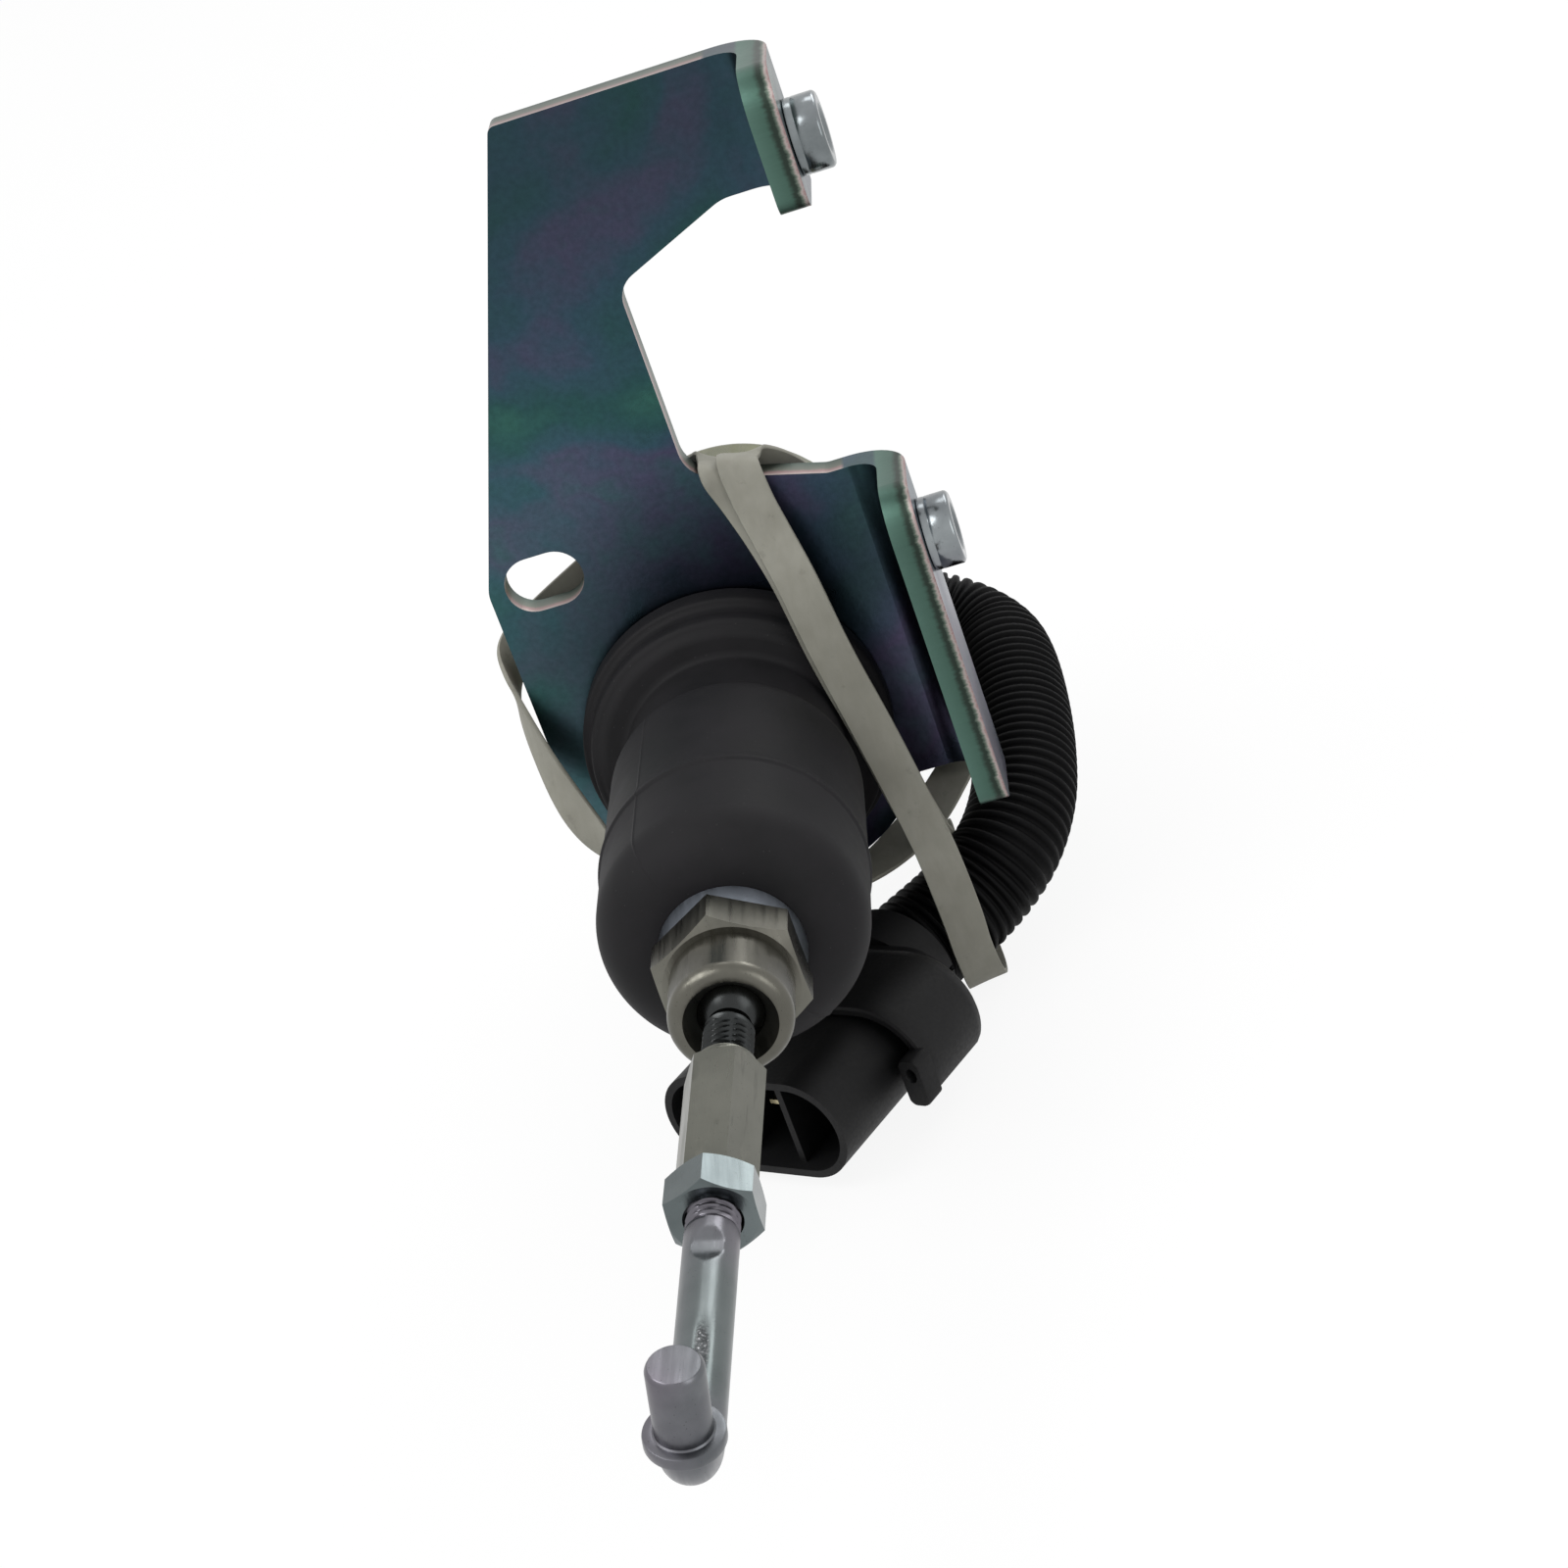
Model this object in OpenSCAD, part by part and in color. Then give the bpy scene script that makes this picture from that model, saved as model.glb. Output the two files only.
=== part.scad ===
// Fuel shutoff solenoid with bracket, ball link, hook rod, wire loom and connector.
// Millimetres. Z up along the mounting flange, X out of the flange, Y to the rear.
// The origin is the axis of the lower mounting nut at the flange's outer face.

/* [Bracket] */
// sheet thickness
sheet_t = 5; // [4:0.5:6]
// inner radius of the flange bend
bend_r = 5; // [3:0.5:8]
// flange outer face to the solenoid axis
axis_x = 43; // [40:0.5:50]
// lower nut axis to the plate's front face
nut_back = 12; // [11:0.5:14]
// lower nut axis above the solenoid axis
axis_z = 30; // [26:0.5:34]
// distance between the two nuts
nut_pitch = 71.5; // [66:0.5:80]
// nut axis to the flange's front edge
flange_edge = 9; // [8:0.5:12]
// plate top above the solenoid axis
plate_top = 115; // [112:1:126]
// left end of the top edge, from the solenoid axis
plate_top_left = 4.5; // [0:0.5:10]
// radius of the rounded foot around the solenoid
foot_r = 33; // [30:0.5:36]
// height where the slanted left edge starts
plate_knee = 37.5; // [34:0.5:44]
// lower end of the flange, below the solenoid axis
flange_low = 18; // [14:0.5:22]
// top of the lower ear
lower_ear_top = 41; // [38:0.5:44]
// bottom of the upper ear
upper_ear_low = 92; // [88:0.5:93]
// deepest edge of the notch, right of the solenoid axis
notch_x = 6.5; // [4:0.5:10]
// notch floor at its inner corner
notch_low = 47.5; // [44:0.5:50]
// notch ceiling at its inner corner
notch_high = 83; // [78:0.5:86]
// large corner radius of the ears
ear_r = 8; // [4:0.5:9]
// small corner radius of the ears
ear_small_r = 3; // [1:0.5:4]
// length of the slot
slot_len = 14; // [12:0.5:18]
// height of the slot
slot_h = 10; // [8:0.5:11]
// slot centre left of the solenoid axis
slot_x = 23; // [20:0.5:24]
// slot centre above the solenoid axis
slot_z = 37; // [34:0.5:40]
// radius of the hole for the solenoid's neck
neck_hole_r = 18.2; // [18.1:0.1:18.6]

/* [Clinch nuts] */
// outside radius of the nut's head
nut_r = 6.3; // [6:0.1:7]
// height of the head on the flange
nut_h = 5.4; // [5:0.1:6]
// radius of the shank pressed into the sheet
nut_shank_r = 5.2; // [5:0.1:5.6]
// depth of the shank in the sheet
nut_shank_h = 2.2; // [1.5:0.1:3]
// wall radius of the thread
thread_r = 3.4; // [3.3:0.1:3.5]

/* [Solenoid] */
// outside radius of the can
can_r = 25; // [24:0.5:28]
// length of the can behind the plate
can_len = 70; // [64:1:90]
// wall of the can
can_wall = 1.5; // [1:0.1:2.5]
// thickness of the can's rear wall
can_end = 2.5; // [1.5:0.1:3]
// rounding of the can's rear edge
can_edge_r = 3; // [2:0.5:3.5]
// radius of the threaded neck
neck_r = 17.9; // [17.5:0.1:18]
// neck length in front of the plate
neck_len = 8; // [7:0.5:8.5]
// thickness of the pole plate
pole_t = 6; // [4:0.5:8]
// outside radius of the lock ring
ring_r = 21.5; // [20.5:0.1:21.6]
// height of the lock ring
ring_h = 6.5; // [5:0.5:6.5]
// outside radius of the guide tube
guide_r = 10.7; // [10.6:0.1:11]
// wall of the guide tube
guide_wall = 0.7; // [0.5:0.1:0.8]
// outside radius of the pull winding
pull_r = 17.4; // [16.5:0.1:18]
// outside radius of the hold winding
hold_r = 22.9; // [22:0.1:23]
// thickness of the bobbin's flanges
bobbin_t = 1.5; // [1:0.1:2]

/* [Plunger] */
// stroke of the plunger
stroke = 25; // [20:1:25]
// radius of the shaft
shaft_r = 6; // [5.5:0.1:6]
// shoulder of the shaft in front of the plate
shaft_end = 79.1; // [79.1:0.1:79.1]
// radius of the threaded spigot
spigot_r = 4.9; // [4.5:0.1:5]
// plunger body length behind the plate
plunger_back = 42; // [40:0.5:42]
// radius of the spring pocket
pocket_r = 6.3; // [6.1:0.1:7]
// depth of the spring pocket
pocket_len = 18; // [15:0.5:22]
// mean radius of the return spring
spring_r = 5.3; // [5:0.1:5.5]
// wire radius of the return spring
spring_wire_r = 0.6; // [0.5:0.05:0.7]
// turns of the return spring
spring_turns = 11; // [9:1:12]

/* [Boot] */
// outside radius of the base lip
boot_lip_r = 27.2; // [26.5:0.1:28]
// outside radius of the second lip
boot_lip2_r = 25.5; // [25:0.1:26]
// outside radius of the neck
boot_neck_r = 19.3; // [19.2:0.1:20]
// outside radius of the barrel
boot_r = 21.8; // [21.4:0.1:22]
// start of the barrel
barrel_from = 26; // [25:0.5:30]
// start of the rounded shoulder
dome_from = 69.7; // [66:0.1:70]
// radius of the flat front
boot_front_r = 12; // [11.5:0.5:13]
// wall of the boot
boot_wall = 2.2; // [1.8:0.1:2.4]

/* [Swivel] */
// rear radius of the tapered end washer
washer_r = 11.8; // [11:0.1:13]
// front radius of the tapered end washer
washer_front_r = 10.9; // [10:0.1:11.8]
// thickness of the end washer
washer_t = 3; // [2:0.1:3]
// across flats of the swivel nut
swivel_af = 22; // [21:0.5:24]
// height of the swivel nut's hexagon
swivel_hex_h = 7.7; // [6:0.1:8]
// outside radius of the ball housing
housing_r = 9.7; // [9.5:0.1:10.5]
// ball centre in front of the plate
ball_u = 94.9; // [94.9:0.1:94.9]
// ball centre to the housing's front face
housing_front = 5.8; // [5.5:0.1:6.5]
// ball radius
ball_r = 6; // [5.8:0.1:6.2]
// running clearance of the ball
ball_gap = 0.06; // [0.04:0.01:0.1]
// radius of the closed-in lip over the ball
lip_r = 5.2; // [4.9:0.1:5.4]
// radius of the housing's mouth
mouth_r = 7.3; // [7:0.1:7.5]

/* [Link] */
// angle of the link below the solenoid axis
droop = 7.1; // [5:0.1:9]
// angle of the link to the left
sweep = 4.7; // [3:0.1:6]
// turn of the hook's pin about the link
pin_turn = 13.2; // [0:0.1:30]
// radius of the stud's neck
stud_neck_r = 3.3; // [3:0.1:3.5]
// radius of the stud and rod threads
link_thread_r = 3.95; // [3.9:0.01:3.97]
// rod radius
rod_r = 4; // [3.8:0.05:4.1]
// across flats of the coupling nut
coupling_af = 11; // [10.5:0.5:13]
// start of the coupling nut from the ball centre
coupling_from = 15; // [14:0.5:18]
// end of the coupling nut from the ball centre
coupling_to = 41.5; // [38:0.5:44]
// across flats of the jam nut
jam_af = 13; // [12:0.5:14]
// height of the jam nut
jam_h = 6.7; // [5:0.1:7]
// ball centre to the corner of the hook
hook_reach = 97.4; // [85:0.1:110]
// centreline radius of the hook's bend
hook_bend_r = 8; // [6.5:0.5:8]
// radius of the hook's collar
collar_r = 5.5; // [5:0.1:6.5]
// thickness of the hook's collar
collar_t = 2; // [1.5:0.1:3]
// top of the collar above the rod axis
collar_top = 9.2; // [9:0.1:12]
// top of the pin above the rod axis
pin_top = 20.7; // [18:0.1:26]
// pin radius
pin_r = 3.9; // [3.5:0.1:3.9]

/* [Loom] */
// outside radius of the corrugated conduit
loom_r = 9.6; // [9:0.1:9.8]
// wall of the conduit
loom_wall = 1.4; // [1:0.1:2]
// radius of one insulated wire
wire_r = 1.8; // [1.5:0.1:2.2]
// gland distance behind the plate's front face
gland_back = 60; // [56:1:62]
// outside radius of the gland
gland_r = 11.8; // [11.6:0.1:12.5]
// gland length out of the can
gland_len = 8; // [7:0.5:9]

/* [Connector] */
// width of the connector's mouth
shell_w = 37; // [36:0.5:40]
// height of the connector's mouth
shell_h = 19; // [18:0.5:21]
// wall of the shroud
shell_wall = 1.4; // [1.2:0.1:1.6]
// depth of the mouth
mouth_depth = 18; // [14:0.5:20]
// length of the shell without its rear sleeve
shell_len = 40; // [38:0.5:44]
// length of the rear sleeve around the loom
sleeve_len = 8; // [7:0.5:9]
// outside radius of the rear sleeve
sleeve_r = 11.4; // [11.3:0.1:12.5]
// thickness of the ribs between the cavities
rib_t = 1.2; // [1:0.1:1.5]
// wall of the lock sleeve
lock_wall = 2.2; // [1.8:0.1:2.6]
// start of the lock sleeve behind the mouth
lock_from = 22; // [20:0.5:23]
// length of the lock sleeve
lock_len = 16; // [14:0.5:17]
// width of one contact blade
blade_w = 2.8; // [2.4:0.1:3]
// thickness of one contact blade
blade_t = 0.8; // [0.6:0.1:1]
// length of one contact blade in the mouth
blade_len = 11; // [9:0.5:13]

/* [Rubber band] */
// width of the band
band_w = 7.2; // [6:0.1:7.5]
// thickness of the band
band_t = 0.9; // [0.7:0.1:1]

/* [Hidden] */
$fn = 64;

// small clearances and cut margins
run_gap = 0.1;
seat_gap = 0.3;
eps = 0.01;
cut = 1;

// bracket, derived
nut_y = -nut_back;
flange_x = axis_x - sheet_t;
bend_x = axis_x - sheet_t - bend_r;
upper_nut_z = axis_z + nut_pitch;
flange_front = nut_y - flange_edge;
knee_r = 6;
notch_roof_x = 27.5;
notch_floor_x = 29.5;
notch_roof_r = 8;
notch_corner_r = 5;
notch_floor_r = 6;
nut_hole_r = nut_shank_r + run_gap;
bolt_hole_r = 4.5;

// solenoid, derived
can_bore_r = can_r - can_wall;
can_back = -(sheet_t + can_len);
can_floor = can_back + can_end;
pole_r = can_bore_r - run_gap;
pole_back = -(sheet_t + pole_t);
guide_bore_r = guide_r - guide_wall;
rear_pole_t = 3.5;
rear_pole_front = can_floor + rear_pole_t;
stop_len = 1.5;
stop_face = rear_pole_front + stop_len;
bobbin_bore_r = guide_r + 2 * run_gap;
bobbin_hub_r = bobbin_bore_r + 1.3;
bobbin_flange_r = pole_r - run_gap;
bobbin_front = pole_back - run_gap;
bobbin_back = rear_pole_front + 2 * run_gap;
coil_front = bobbin_front - bobbin_t - run_gap;
coil_len = coil_front - (bobbin_back + bobbin_t + run_gap);
spanner_slot = 4;

// plunger and boot, derived
plunger_r = guide_bore_r - run_gap;
pocket_floor = -plunger_back + pocket_len;
washer_from = shaft_end + run_gap;
washer_to = washer_from + washer_t;
swivel_from = washer_to + run_gap;
hex_to = swivel_from + swivel_hex_h;
housing_to = ball_u + housing_front;
spigot_end = 87;
boot_base = seat_gap;
lip_h = 4.7;
lip2_from = 7;
lip2_to = 9.5;
groove_r = 26;
groove_from = 5.4;
groove_to = 6.6;
neck_from = 12;
neck_to = 22;
boot_face = shaft_end - run_gap;
dome_steps = 8;
parting_u = 55;
parting_h = 0.35;

// link, derived
stud_neck_to = 11;
stud_end = 28;
rod_thread_from = 30;
hub_r = 4.45;
hub_len = 1.6;
thread_bore_r = link_thread_r + 0.05;
jam_from = coupling_to + run_gap;
jam_to = jam_from + jam_h;
jam_bore_r = 4.4;
rod_from = jam_to + 0.3;
coupling_turn = 10.5;
jam_turn = 38;
swivel_turn = 30;
pin_chamfer = 0.8;

// loom route in front view of the solenoid axis: right, back, up
gland_angle = -28;
gland_floor = can_r + 4;
gland_tip = can_r + gland_len;
loom_start = gland_floor + run_gap;
mouth_at = [-10.9, -60, -43];
shell_yaw = 33.4;
shell_dir = [sin(shell_yaw), cos(shell_yaw), 0];
socket_floor = shell_len + 2;
shell_end = shell_len + sleeve_len;
gland_dir = [cos(gland_angle), 0, sin(gland_angle)];
gland_at = [0, gland_back, 0];
loom_end_at = mouth_at + shell_dir * (socket_floor + run_gap);
sleeve_out_at = mouth_at + shell_dir * (shell_end + 2.5);
loom_route = [
    gland_at + gland_dir * loom_start,
    gland_at + gland_dir * (loom_start + 2),
    gland_at + gland_dir * (loom_start + 4),
    gland_at + gland_dir * (gland_tip + 2),
    [37.5, 58, -19.9],
    [42.4, 52.5, -22.5],
    [44.4, 44.5, -23.9],
    [45, 33, -26.5],
    [44.5, 20, -29.7],
    [42.5, 8, -33.2],
    [37.5, -2, -37],
    [29, -9, -40.8],
    sleeve_out_at,
    mouth_at + shell_dir * (shell_end - 1),
    mouth_at + shell_dir * (shell_end - 3.5),
    loom_end_at
];
loom_sides = 12;
loom_steps = 3;
wire_sides = 8;
wire_off = 3.2;
seal_r = 8;

// band stations: right, back, up, then the width direction
band_route = [
    [15.6, -1, 47.4, 1, 0, -0.28],
    [16.3, -5.5, 41.5, 1, 0, 0.15],
    [18, -11, 30.5, 1, 0, 0.25],
    [20.3, -14.9, 18.5, 0.97, 0.1, 0.25],
    [24.8, -16.4, 1, 0.96, 0.1, 0.25],
    [27.4, -19.8, -20, 0.97, 0.1, 0.22],
    [28.8, -23.4, -33, 0.97, 0.2, 0.1],
    [29, -23.6, -42, 0.95, 0.3, 0],
    [29, -19, -51, 0.9, 0.45, -0.1],
    [28.6, -9.5, -53.8, 0.85, 0.5, -0.1],
    [27.4, -1, -49.5, 0.85, 0.4, 0.1],
    [26, 4.4, -40, 0.95, 0.2, 0.2],
    [26.4, 1, -30.5, 0.97, 0.1, 0.2],
    [27.4, -9, -27, 0.97, 0.1, 0.2],
    [26.8, -15.5, -19.5, 0.97, 0.1, 0.22],
    [23.9, -14.9, 1, 0.96, 0.1, 0.25],
    [18.8, -13.4, 18.5, 0.97, 0.1, 0.25],
    [15.6, -9.4, 30.5, 1, 0, 0.25],
    [13.2, -4.2, 41.2, 1, 0, 0.1],
    [12.3, -0.9, 46.7, 1, 0, -0.36],
    [12, 3, 47.4, 1, 0, -0.36],
    [11, 6.2, 46.9, 0.95, 0, -0.5],
    [7.5, 7.4, 44.8, 0.7, 0, -0.7],
    [1, 7.6, 41.5, 0.45, 0, -0.89],
    [-12, 8, 35, 0.45, 0, -0.89],
    [-25, 8, 28.6, 0.45, 0, -0.89],
    [-33, 7.4, 24, 0.4, 0, -0.9],
    [-35.3, 2.5, 19, 0, 0.2, -1],
    [-33.5, -5, 8.5, 0, 0.5, -0.85],
    [-29.5, -12, -3, 0, 0.75, -0.6],
    [-24, -15, -12, 0, 0.9, -0.4],
    [-14, -15.5, -22.2, 0, 0.95, -0.2],
    [0, -14.5, -27.3, 0, 1, -0.1],
    [14, -11, -27.5, 0, 0.97, -0.15],
    [25, -5.5, -25, -0.3, 0.9, -0.1],
    [31.5, 0, -21.5, -0.75, 0.65, 0],
    [34, 4.5, -19.6, -1, 0.1, 0],
    [34, 9, -15, -1, 0, 0],
    [33, 10, -2, -0.8, 0.6, 0],
    [30.5, 10, 12, 0, 1, 0],
    [27.5, 10, 26, 0.8, 0.6, 0.2],
    [22.5, 8.5, 39, 0.92, 0, 0.4],
    [17.4, 5.6, 45.7, 1, 0, 0],
    [15.8, 2.5, 47.6, 1, 0, -0.28]
];
band_steps = 3;

function unit(v) = v / norm(v);
function cross2(a, b) = a[0] * b[1] - a[1] * b[0];
function wrap(i, n) = (i + n) % n;
function corner(pts, i) = [
    unit(pts[wrap(i - 1, len(pts))] - pts[i]),
    unit(pts[wrap(i + 1, len(pts))] - pts[i])
];
function half_angle(c) = acos(c[0] * c[1]) / 2;
function tangent_len(c, r) = r / tan(half_angle(c));
function arc_centre(p, c, r) = p + unit(c[0] + c[1]) * r / sin(half_angle(c));
function convex(c) = cross2(c[0], c[1]) < 0;
function cut_points(pts, rads) = [
    for (i = [0:len(pts) - 1])
        let (c = corner(pts, i), t = tangent_len(c, rads[i]))
        each (rads[i] > 0 ? [pts[i] + c[0] * t, pts[i] + c[1] * t] : [pts[i]])
];

// smooth curve through points, open or closed
function blend_at(a, b, c, d, t) =
    0.5 * ((2 * b) + (c - a) * t + (2 * a - 5 * b + 4 * c - d) * t * t
    + (3 * b - a - 3 * c + d) * t * t * t);
function before(p, i) = i > 0 ? p[i - 1] : 2 * p[0] - p[1];
function after(p, i) = i + 2 < len(p) ? p[i + 2] : 2 * p[len(p) - 1] - p[len(p) - 2];
function open_curve(p, k) = concat(
    [for (i = [0:len(p) - 2]) for (j = [0:k - 1])
        blend_at(before(p, i), p[i], p[i + 1], after(p, i), j / k)],
    [p[len(p) - 1]]);
function closed_curve(p, k) = [
    for (i = [0:len(p) - 1]) for (j = [0:k - 1])
        blend_at(p[wrap(i - 1, len(p))], p[i], p[wrap(i + 1, len(p))],
            p[wrap(i + 2, len(p))], j / k)
];

// rings of a tube along a path; side and up are square to the path
function along(p, i) = unit(p[min(i + 1, len(p) - 1)] - p[max(i - 1, 0)]);
function side_of(t) = unit(cross(t, [0, 0, 1]));
function ring_at(p, i, r, sides, off) =
    let (t = along(p, i), s = side_of(t), u = cross(s, t), c = p[i] + s * off[0] + u * off[1])
    [for (j = [0:sides - 1])
        c + s * (r * cos(360 * j / sides)) + u * (r * sin(360 * j / sides))];
function rings(p, r, sides, off) = [for (i = [0:len(p) - 1]) each ring_at(p, i, r, sides, off)];
function skin(n, s, base, flip) = [
    for (i = [0:n - 2]) for (j = [0:s - 1])
        let (a = base + i * s + j, b = base + i * s + (j + 1) % s, c = b + s, d = a + s)
        each (flip ? [[a, c, b], [a, d, c]] : [[a, b, c], [a, c, d]])
];

loom_path = open_curve(loom_route, loom_steps);
band_path = closed_curve(band_route, band_steps);

module sweep_solid(p, r, sides, off) {
    n = len(p);
    polyhedron(
        points = rings(p, r, sides, off),
        faces = concat(
            skin(n, sides, 0, false),
            [[for (j = [sides - 1:-1:0]) j]],
            [[for (j = [0:sides - 1]) (n - 1) * sides + j]]
        )
    );
}

module sweep_tube(p, r, r_in, sides) {
    n = len(p);
    m = n * sides;
    last = (n - 1) * sides;
    polyhedron(
        points = concat(rings(p, r, sides, [0, 0]), rings(p, r_in, sides, [0, 0])),
        faces = concat(
            skin(n, sides, 0, false),
            skin(n, sides, m, true),
            [for (j = [0:sides - 1]) let (k = (j + 1) % sides)
                each [[m + j, m + k, k], [m + j, k, j]]],
            [for (j = [0:sides - 1]) let (k = (j + 1) % sides)
                each [[last + j, last + k, m + last + k], [last + j, m + last + k, m + last + j]]]
        )
    );
}

// frames of the object
module at_solenoid() {
    translate([-axis_x, nut_back, -axis_z]) children();
}

module on_axis(u = 0) {
    at_solenoid() rotate([90, 0, 0]) translate([0, 0, u]) children();
}

module on_link(l = 0) {
    at_solenoid()
        translate([0, -ball_u, 0])
        rotate([droop, 0, -sweep])
        rotate([0, pin_turn, 0])
        rotate([90, 0, 0])
        translate([0, 0, l])
        children();
}

module on_shell(z = 0) {
    at_solenoid()
        translate(mouth_at)
        rotate([90, 0, 180 - shell_yaw])
        translate([0, 0, z])
        children();
}

module ring(r, r_in, h) {
    difference() {
        cylinder(r = r, h = h);
        translate([0, 0, -cut]) cylinder(r = r_in, h = h + 2 * cut);
    }
}

module rounded_outline(pts, rads) {
    difference() {
        union() {
            polygon(cut_points(pts, rads));
            for (i = [0:len(pts) - 1])
                if (rads[i] > 0 && convex(corner(pts, i)))
                    translate(arc_centre(pts[i], corner(pts, i), rads[i])) circle(r = rads[i]);
        }
        for (i = [0:len(pts) - 1])
            if (rads[i] > 0 && !convex(corner(pts, i)))
                translate(arc_centre(pts[i], corner(pts, i), rads[i])) circle(r = rads[i]);
    }
}

// six-sided prism with its corners turned down at one or both ends
module hex_nut(af, h, turn, low, high) {
    ac_r = af / cos(30) / 2 * 1.01;
    flat_r = af * 0.97 / 2;
    turned = (ac_r - flat_r) * tan(30);
    intersection() {
        rotate([0, 0, turn]) cylinder(d = af / cos(30), h = h, $fn = 6);
        rotate_extrude() polygon([
            [0, 0], [low ? flat_r : ac_r, 0], [ac_r, low ? turned : eps],
            [ac_r, high ? h - turned : h - eps], [high ? flat_r : ac_r, h], [0, h]
        ]);
    }
}

module plate_outline() {
    difference() {
        union() {
            circle(r = foot_r);
            rounded_outline(
                [[-foot_r, 0], [0, -flange_low], [bend_x, -flange_low],
                    [bend_x, lower_ear_top], [notch_floor_x, lower_ear_top],
                    [notch_x, notch_low], [notch_x, notch_high],
                    [notch_roof_x, upper_ear_low], [bend_x, upper_ear_low],
                    [bend_x, plate_top], [-plate_top_left, plate_top],
                    [-foot_r, plate_knee]],
                [0, 0, 0, 0, 4, notch_floor_r, notch_corner_r, notch_roof_r, 0, 0, 1.5, knee_r]
            );
        }
        circle(r = neck_hole_r);
        translate([-slot_x, slot_z]) {
            square([slot_len - slot_h, slot_h], center = true);
            for (s = [-1, 1])
                translate([s * (slot_len - slot_h) / 2, 0]) circle(d = slot_h);
        }
    }
}

// bend and ear between two heights, with its two front corner radii
module ear(z0, z1, r_low, r_high) {
    translate([bend_x, -bend_r, 0])
        rotate_extrude(angle = 90) translate([bend_r, z0]) square([sheet_t, z1 - z0]);
    difference() {
        translate([flange_x, 0, 0])
            rotate([90, 0, 90])
            linear_extrude(sheet_t)
            rounded_outline(
                [[-bend_r, z0], [-bend_r, z1], [flange_front, z1], [flange_front, z0]],
                [0, 0, r_high, r_low]
            );
        for (z = [axis_z, upper_nut_z]) translate([flange_x, nut_y, z]) rotate([0, 90, 0]) {
            translate([0, 0, -cut]) cylinder(r = bolt_hole_r, h = sheet_t + 2 * cut);
            translate([0, 0, sheet_t - nut_shank_h]) cylinder(r = nut_hole_r, h = nut_shank_h + cut);
        }
    }
}

module bracket() {
    color("DarkSlateGray") {
        on_axis(-sheet_t) linear_extrude(sheet_t) plate_outline();
        at_solenoid() {
            ear(-flange_low, lower_ear_top, ear_small_r, ear_r);
            ear(upper_ear_low, plate_top, ear_small_r, ear_r);
        }
    }
}

module clinch_nut(z) {
    color("Silver")
        translate([0, 0, z])
        rotate([0, 90, 0])
        difference() {
            union() {
                cylinder(r = nut_r, h = nut_h - 0.6);
                translate([0, 0, nut_h - 0.6]) cylinder(r1 = nut_r, r2 = nut_r - 0.4, h = 0.6);
                translate([0, 0, -nut_shank_h]) cylinder(r = nut_shank_r, h = nut_shank_h + eps);
            }
            translate([0, 0, -nut_shank_h - cut])
                cylinder(r = thread_r, h = nut_shank_h + nut_h + 2 * cut);
        }
}

module upper_clinch_nut() {
    clinch_nut(nut_pitch);
}

module lower_clinch_nut() {
    clinch_nut(0);
}

module solenoid_can() {
    color("DimGray")
        on_axis()
        rotate_extrude()
        difference() {
            union() {
                translate([0, can_back + can_edge_r]) square([can_r, can_len - can_edge_r]);
                translate([0, can_back]) square([can_r - can_edge_r, can_len]);
                translate([can_r - can_edge_r, can_back + can_edge_r]) circle(r = can_edge_r);
            }
            translate([0, can_floor]) square([can_bore_r, can_len]);
            translate([-can_r, can_back - cut]) square([can_r, can_len + 2 * cut]);
        }
}

module front_pole_plate() {
    color("Gray")
        on_axis(pole_back)
        difference() {
            union() {
                cylinder(r = pole_r, h = pole_t);
                cylinder(r = neck_r, h = pole_t + sheet_t + neck_len);
            }
            translate([0, 0, -cut])
                cylinder(r = guide_r + run_gap, h = pole_t + sheet_t + neck_len + 2 * cut);
        }
}

module lock_ring() {
    color("Gray")
        on_axis()
        difference() {
            ring(ring_r, neck_r + run_gap, ring_h);
            for (a = [45:90:315]) rotate([0, 0, a])
                translate([ring_r - 1.2, -spanner_slot / 2, 2]) cube([3, spanner_slot, ring_h]);
        }
}

module rear_pole() {
    color("Gray")
        on_axis(can_floor) {
            cylinder(r = pole_r, h = rear_pole_t);
            cylinder(r = plunger_r, h = rear_pole_t + stop_len);
        }
}

module coil_bobbin() {
    color("Ivory")
        on_axis(bobbin_back)
        difference() {
            union() {
                cylinder(r = bobbin_hub_r, h = bobbin_front - bobbin_back);
                cylinder(r = bobbin_flange_r, h = bobbin_t);
                translate([0, 0, bobbin_front - bobbin_back - bobbin_t])
                    cylinder(r = bobbin_flange_r, h = bobbin_t);
            }
            translate([0, 0, -cut])
                cylinder(r = bobbin_bore_r, h = bobbin_front - bobbin_back + 2 * cut);
        }
}

module pull_coil() {
    color("Peru")
        on_axis(coil_front - coil_len) ring(pull_r, bobbin_hub_r + run_gap, coil_len);
}

module hold_coil() {
    color("Chocolate")
        on_axis(coil_front - coil_len) ring(hold_r, pull_r + run_gap, coil_len);
}

module guide_tube() {
    guide_back = rear_pole_front + run_gap;
    color("Goldenrod")
        on_axis(guide_back) ring(guide_r, guide_bore_r, neck_len - guide_back);
}

module return_spring() {
    spring_from = stop_face + run_gap + spring_wire_r;
    spring_to = pocket_floor - run_gap - spring_wire_r;
    per_turn = 12;
    steps = spring_turns * per_turn;
    color("Silver")
        on_axis()
        sweep_solid(
            [for (i = [0:steps]) let (a = 360 * i / per_turn)
                [spring_r * cos(a), spring_r * sin(a),
                    spring_from + (spring_to - spring_from) * i / steps]],
            spring_wire_r, 6, [0, 0]
        );
}

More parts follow.
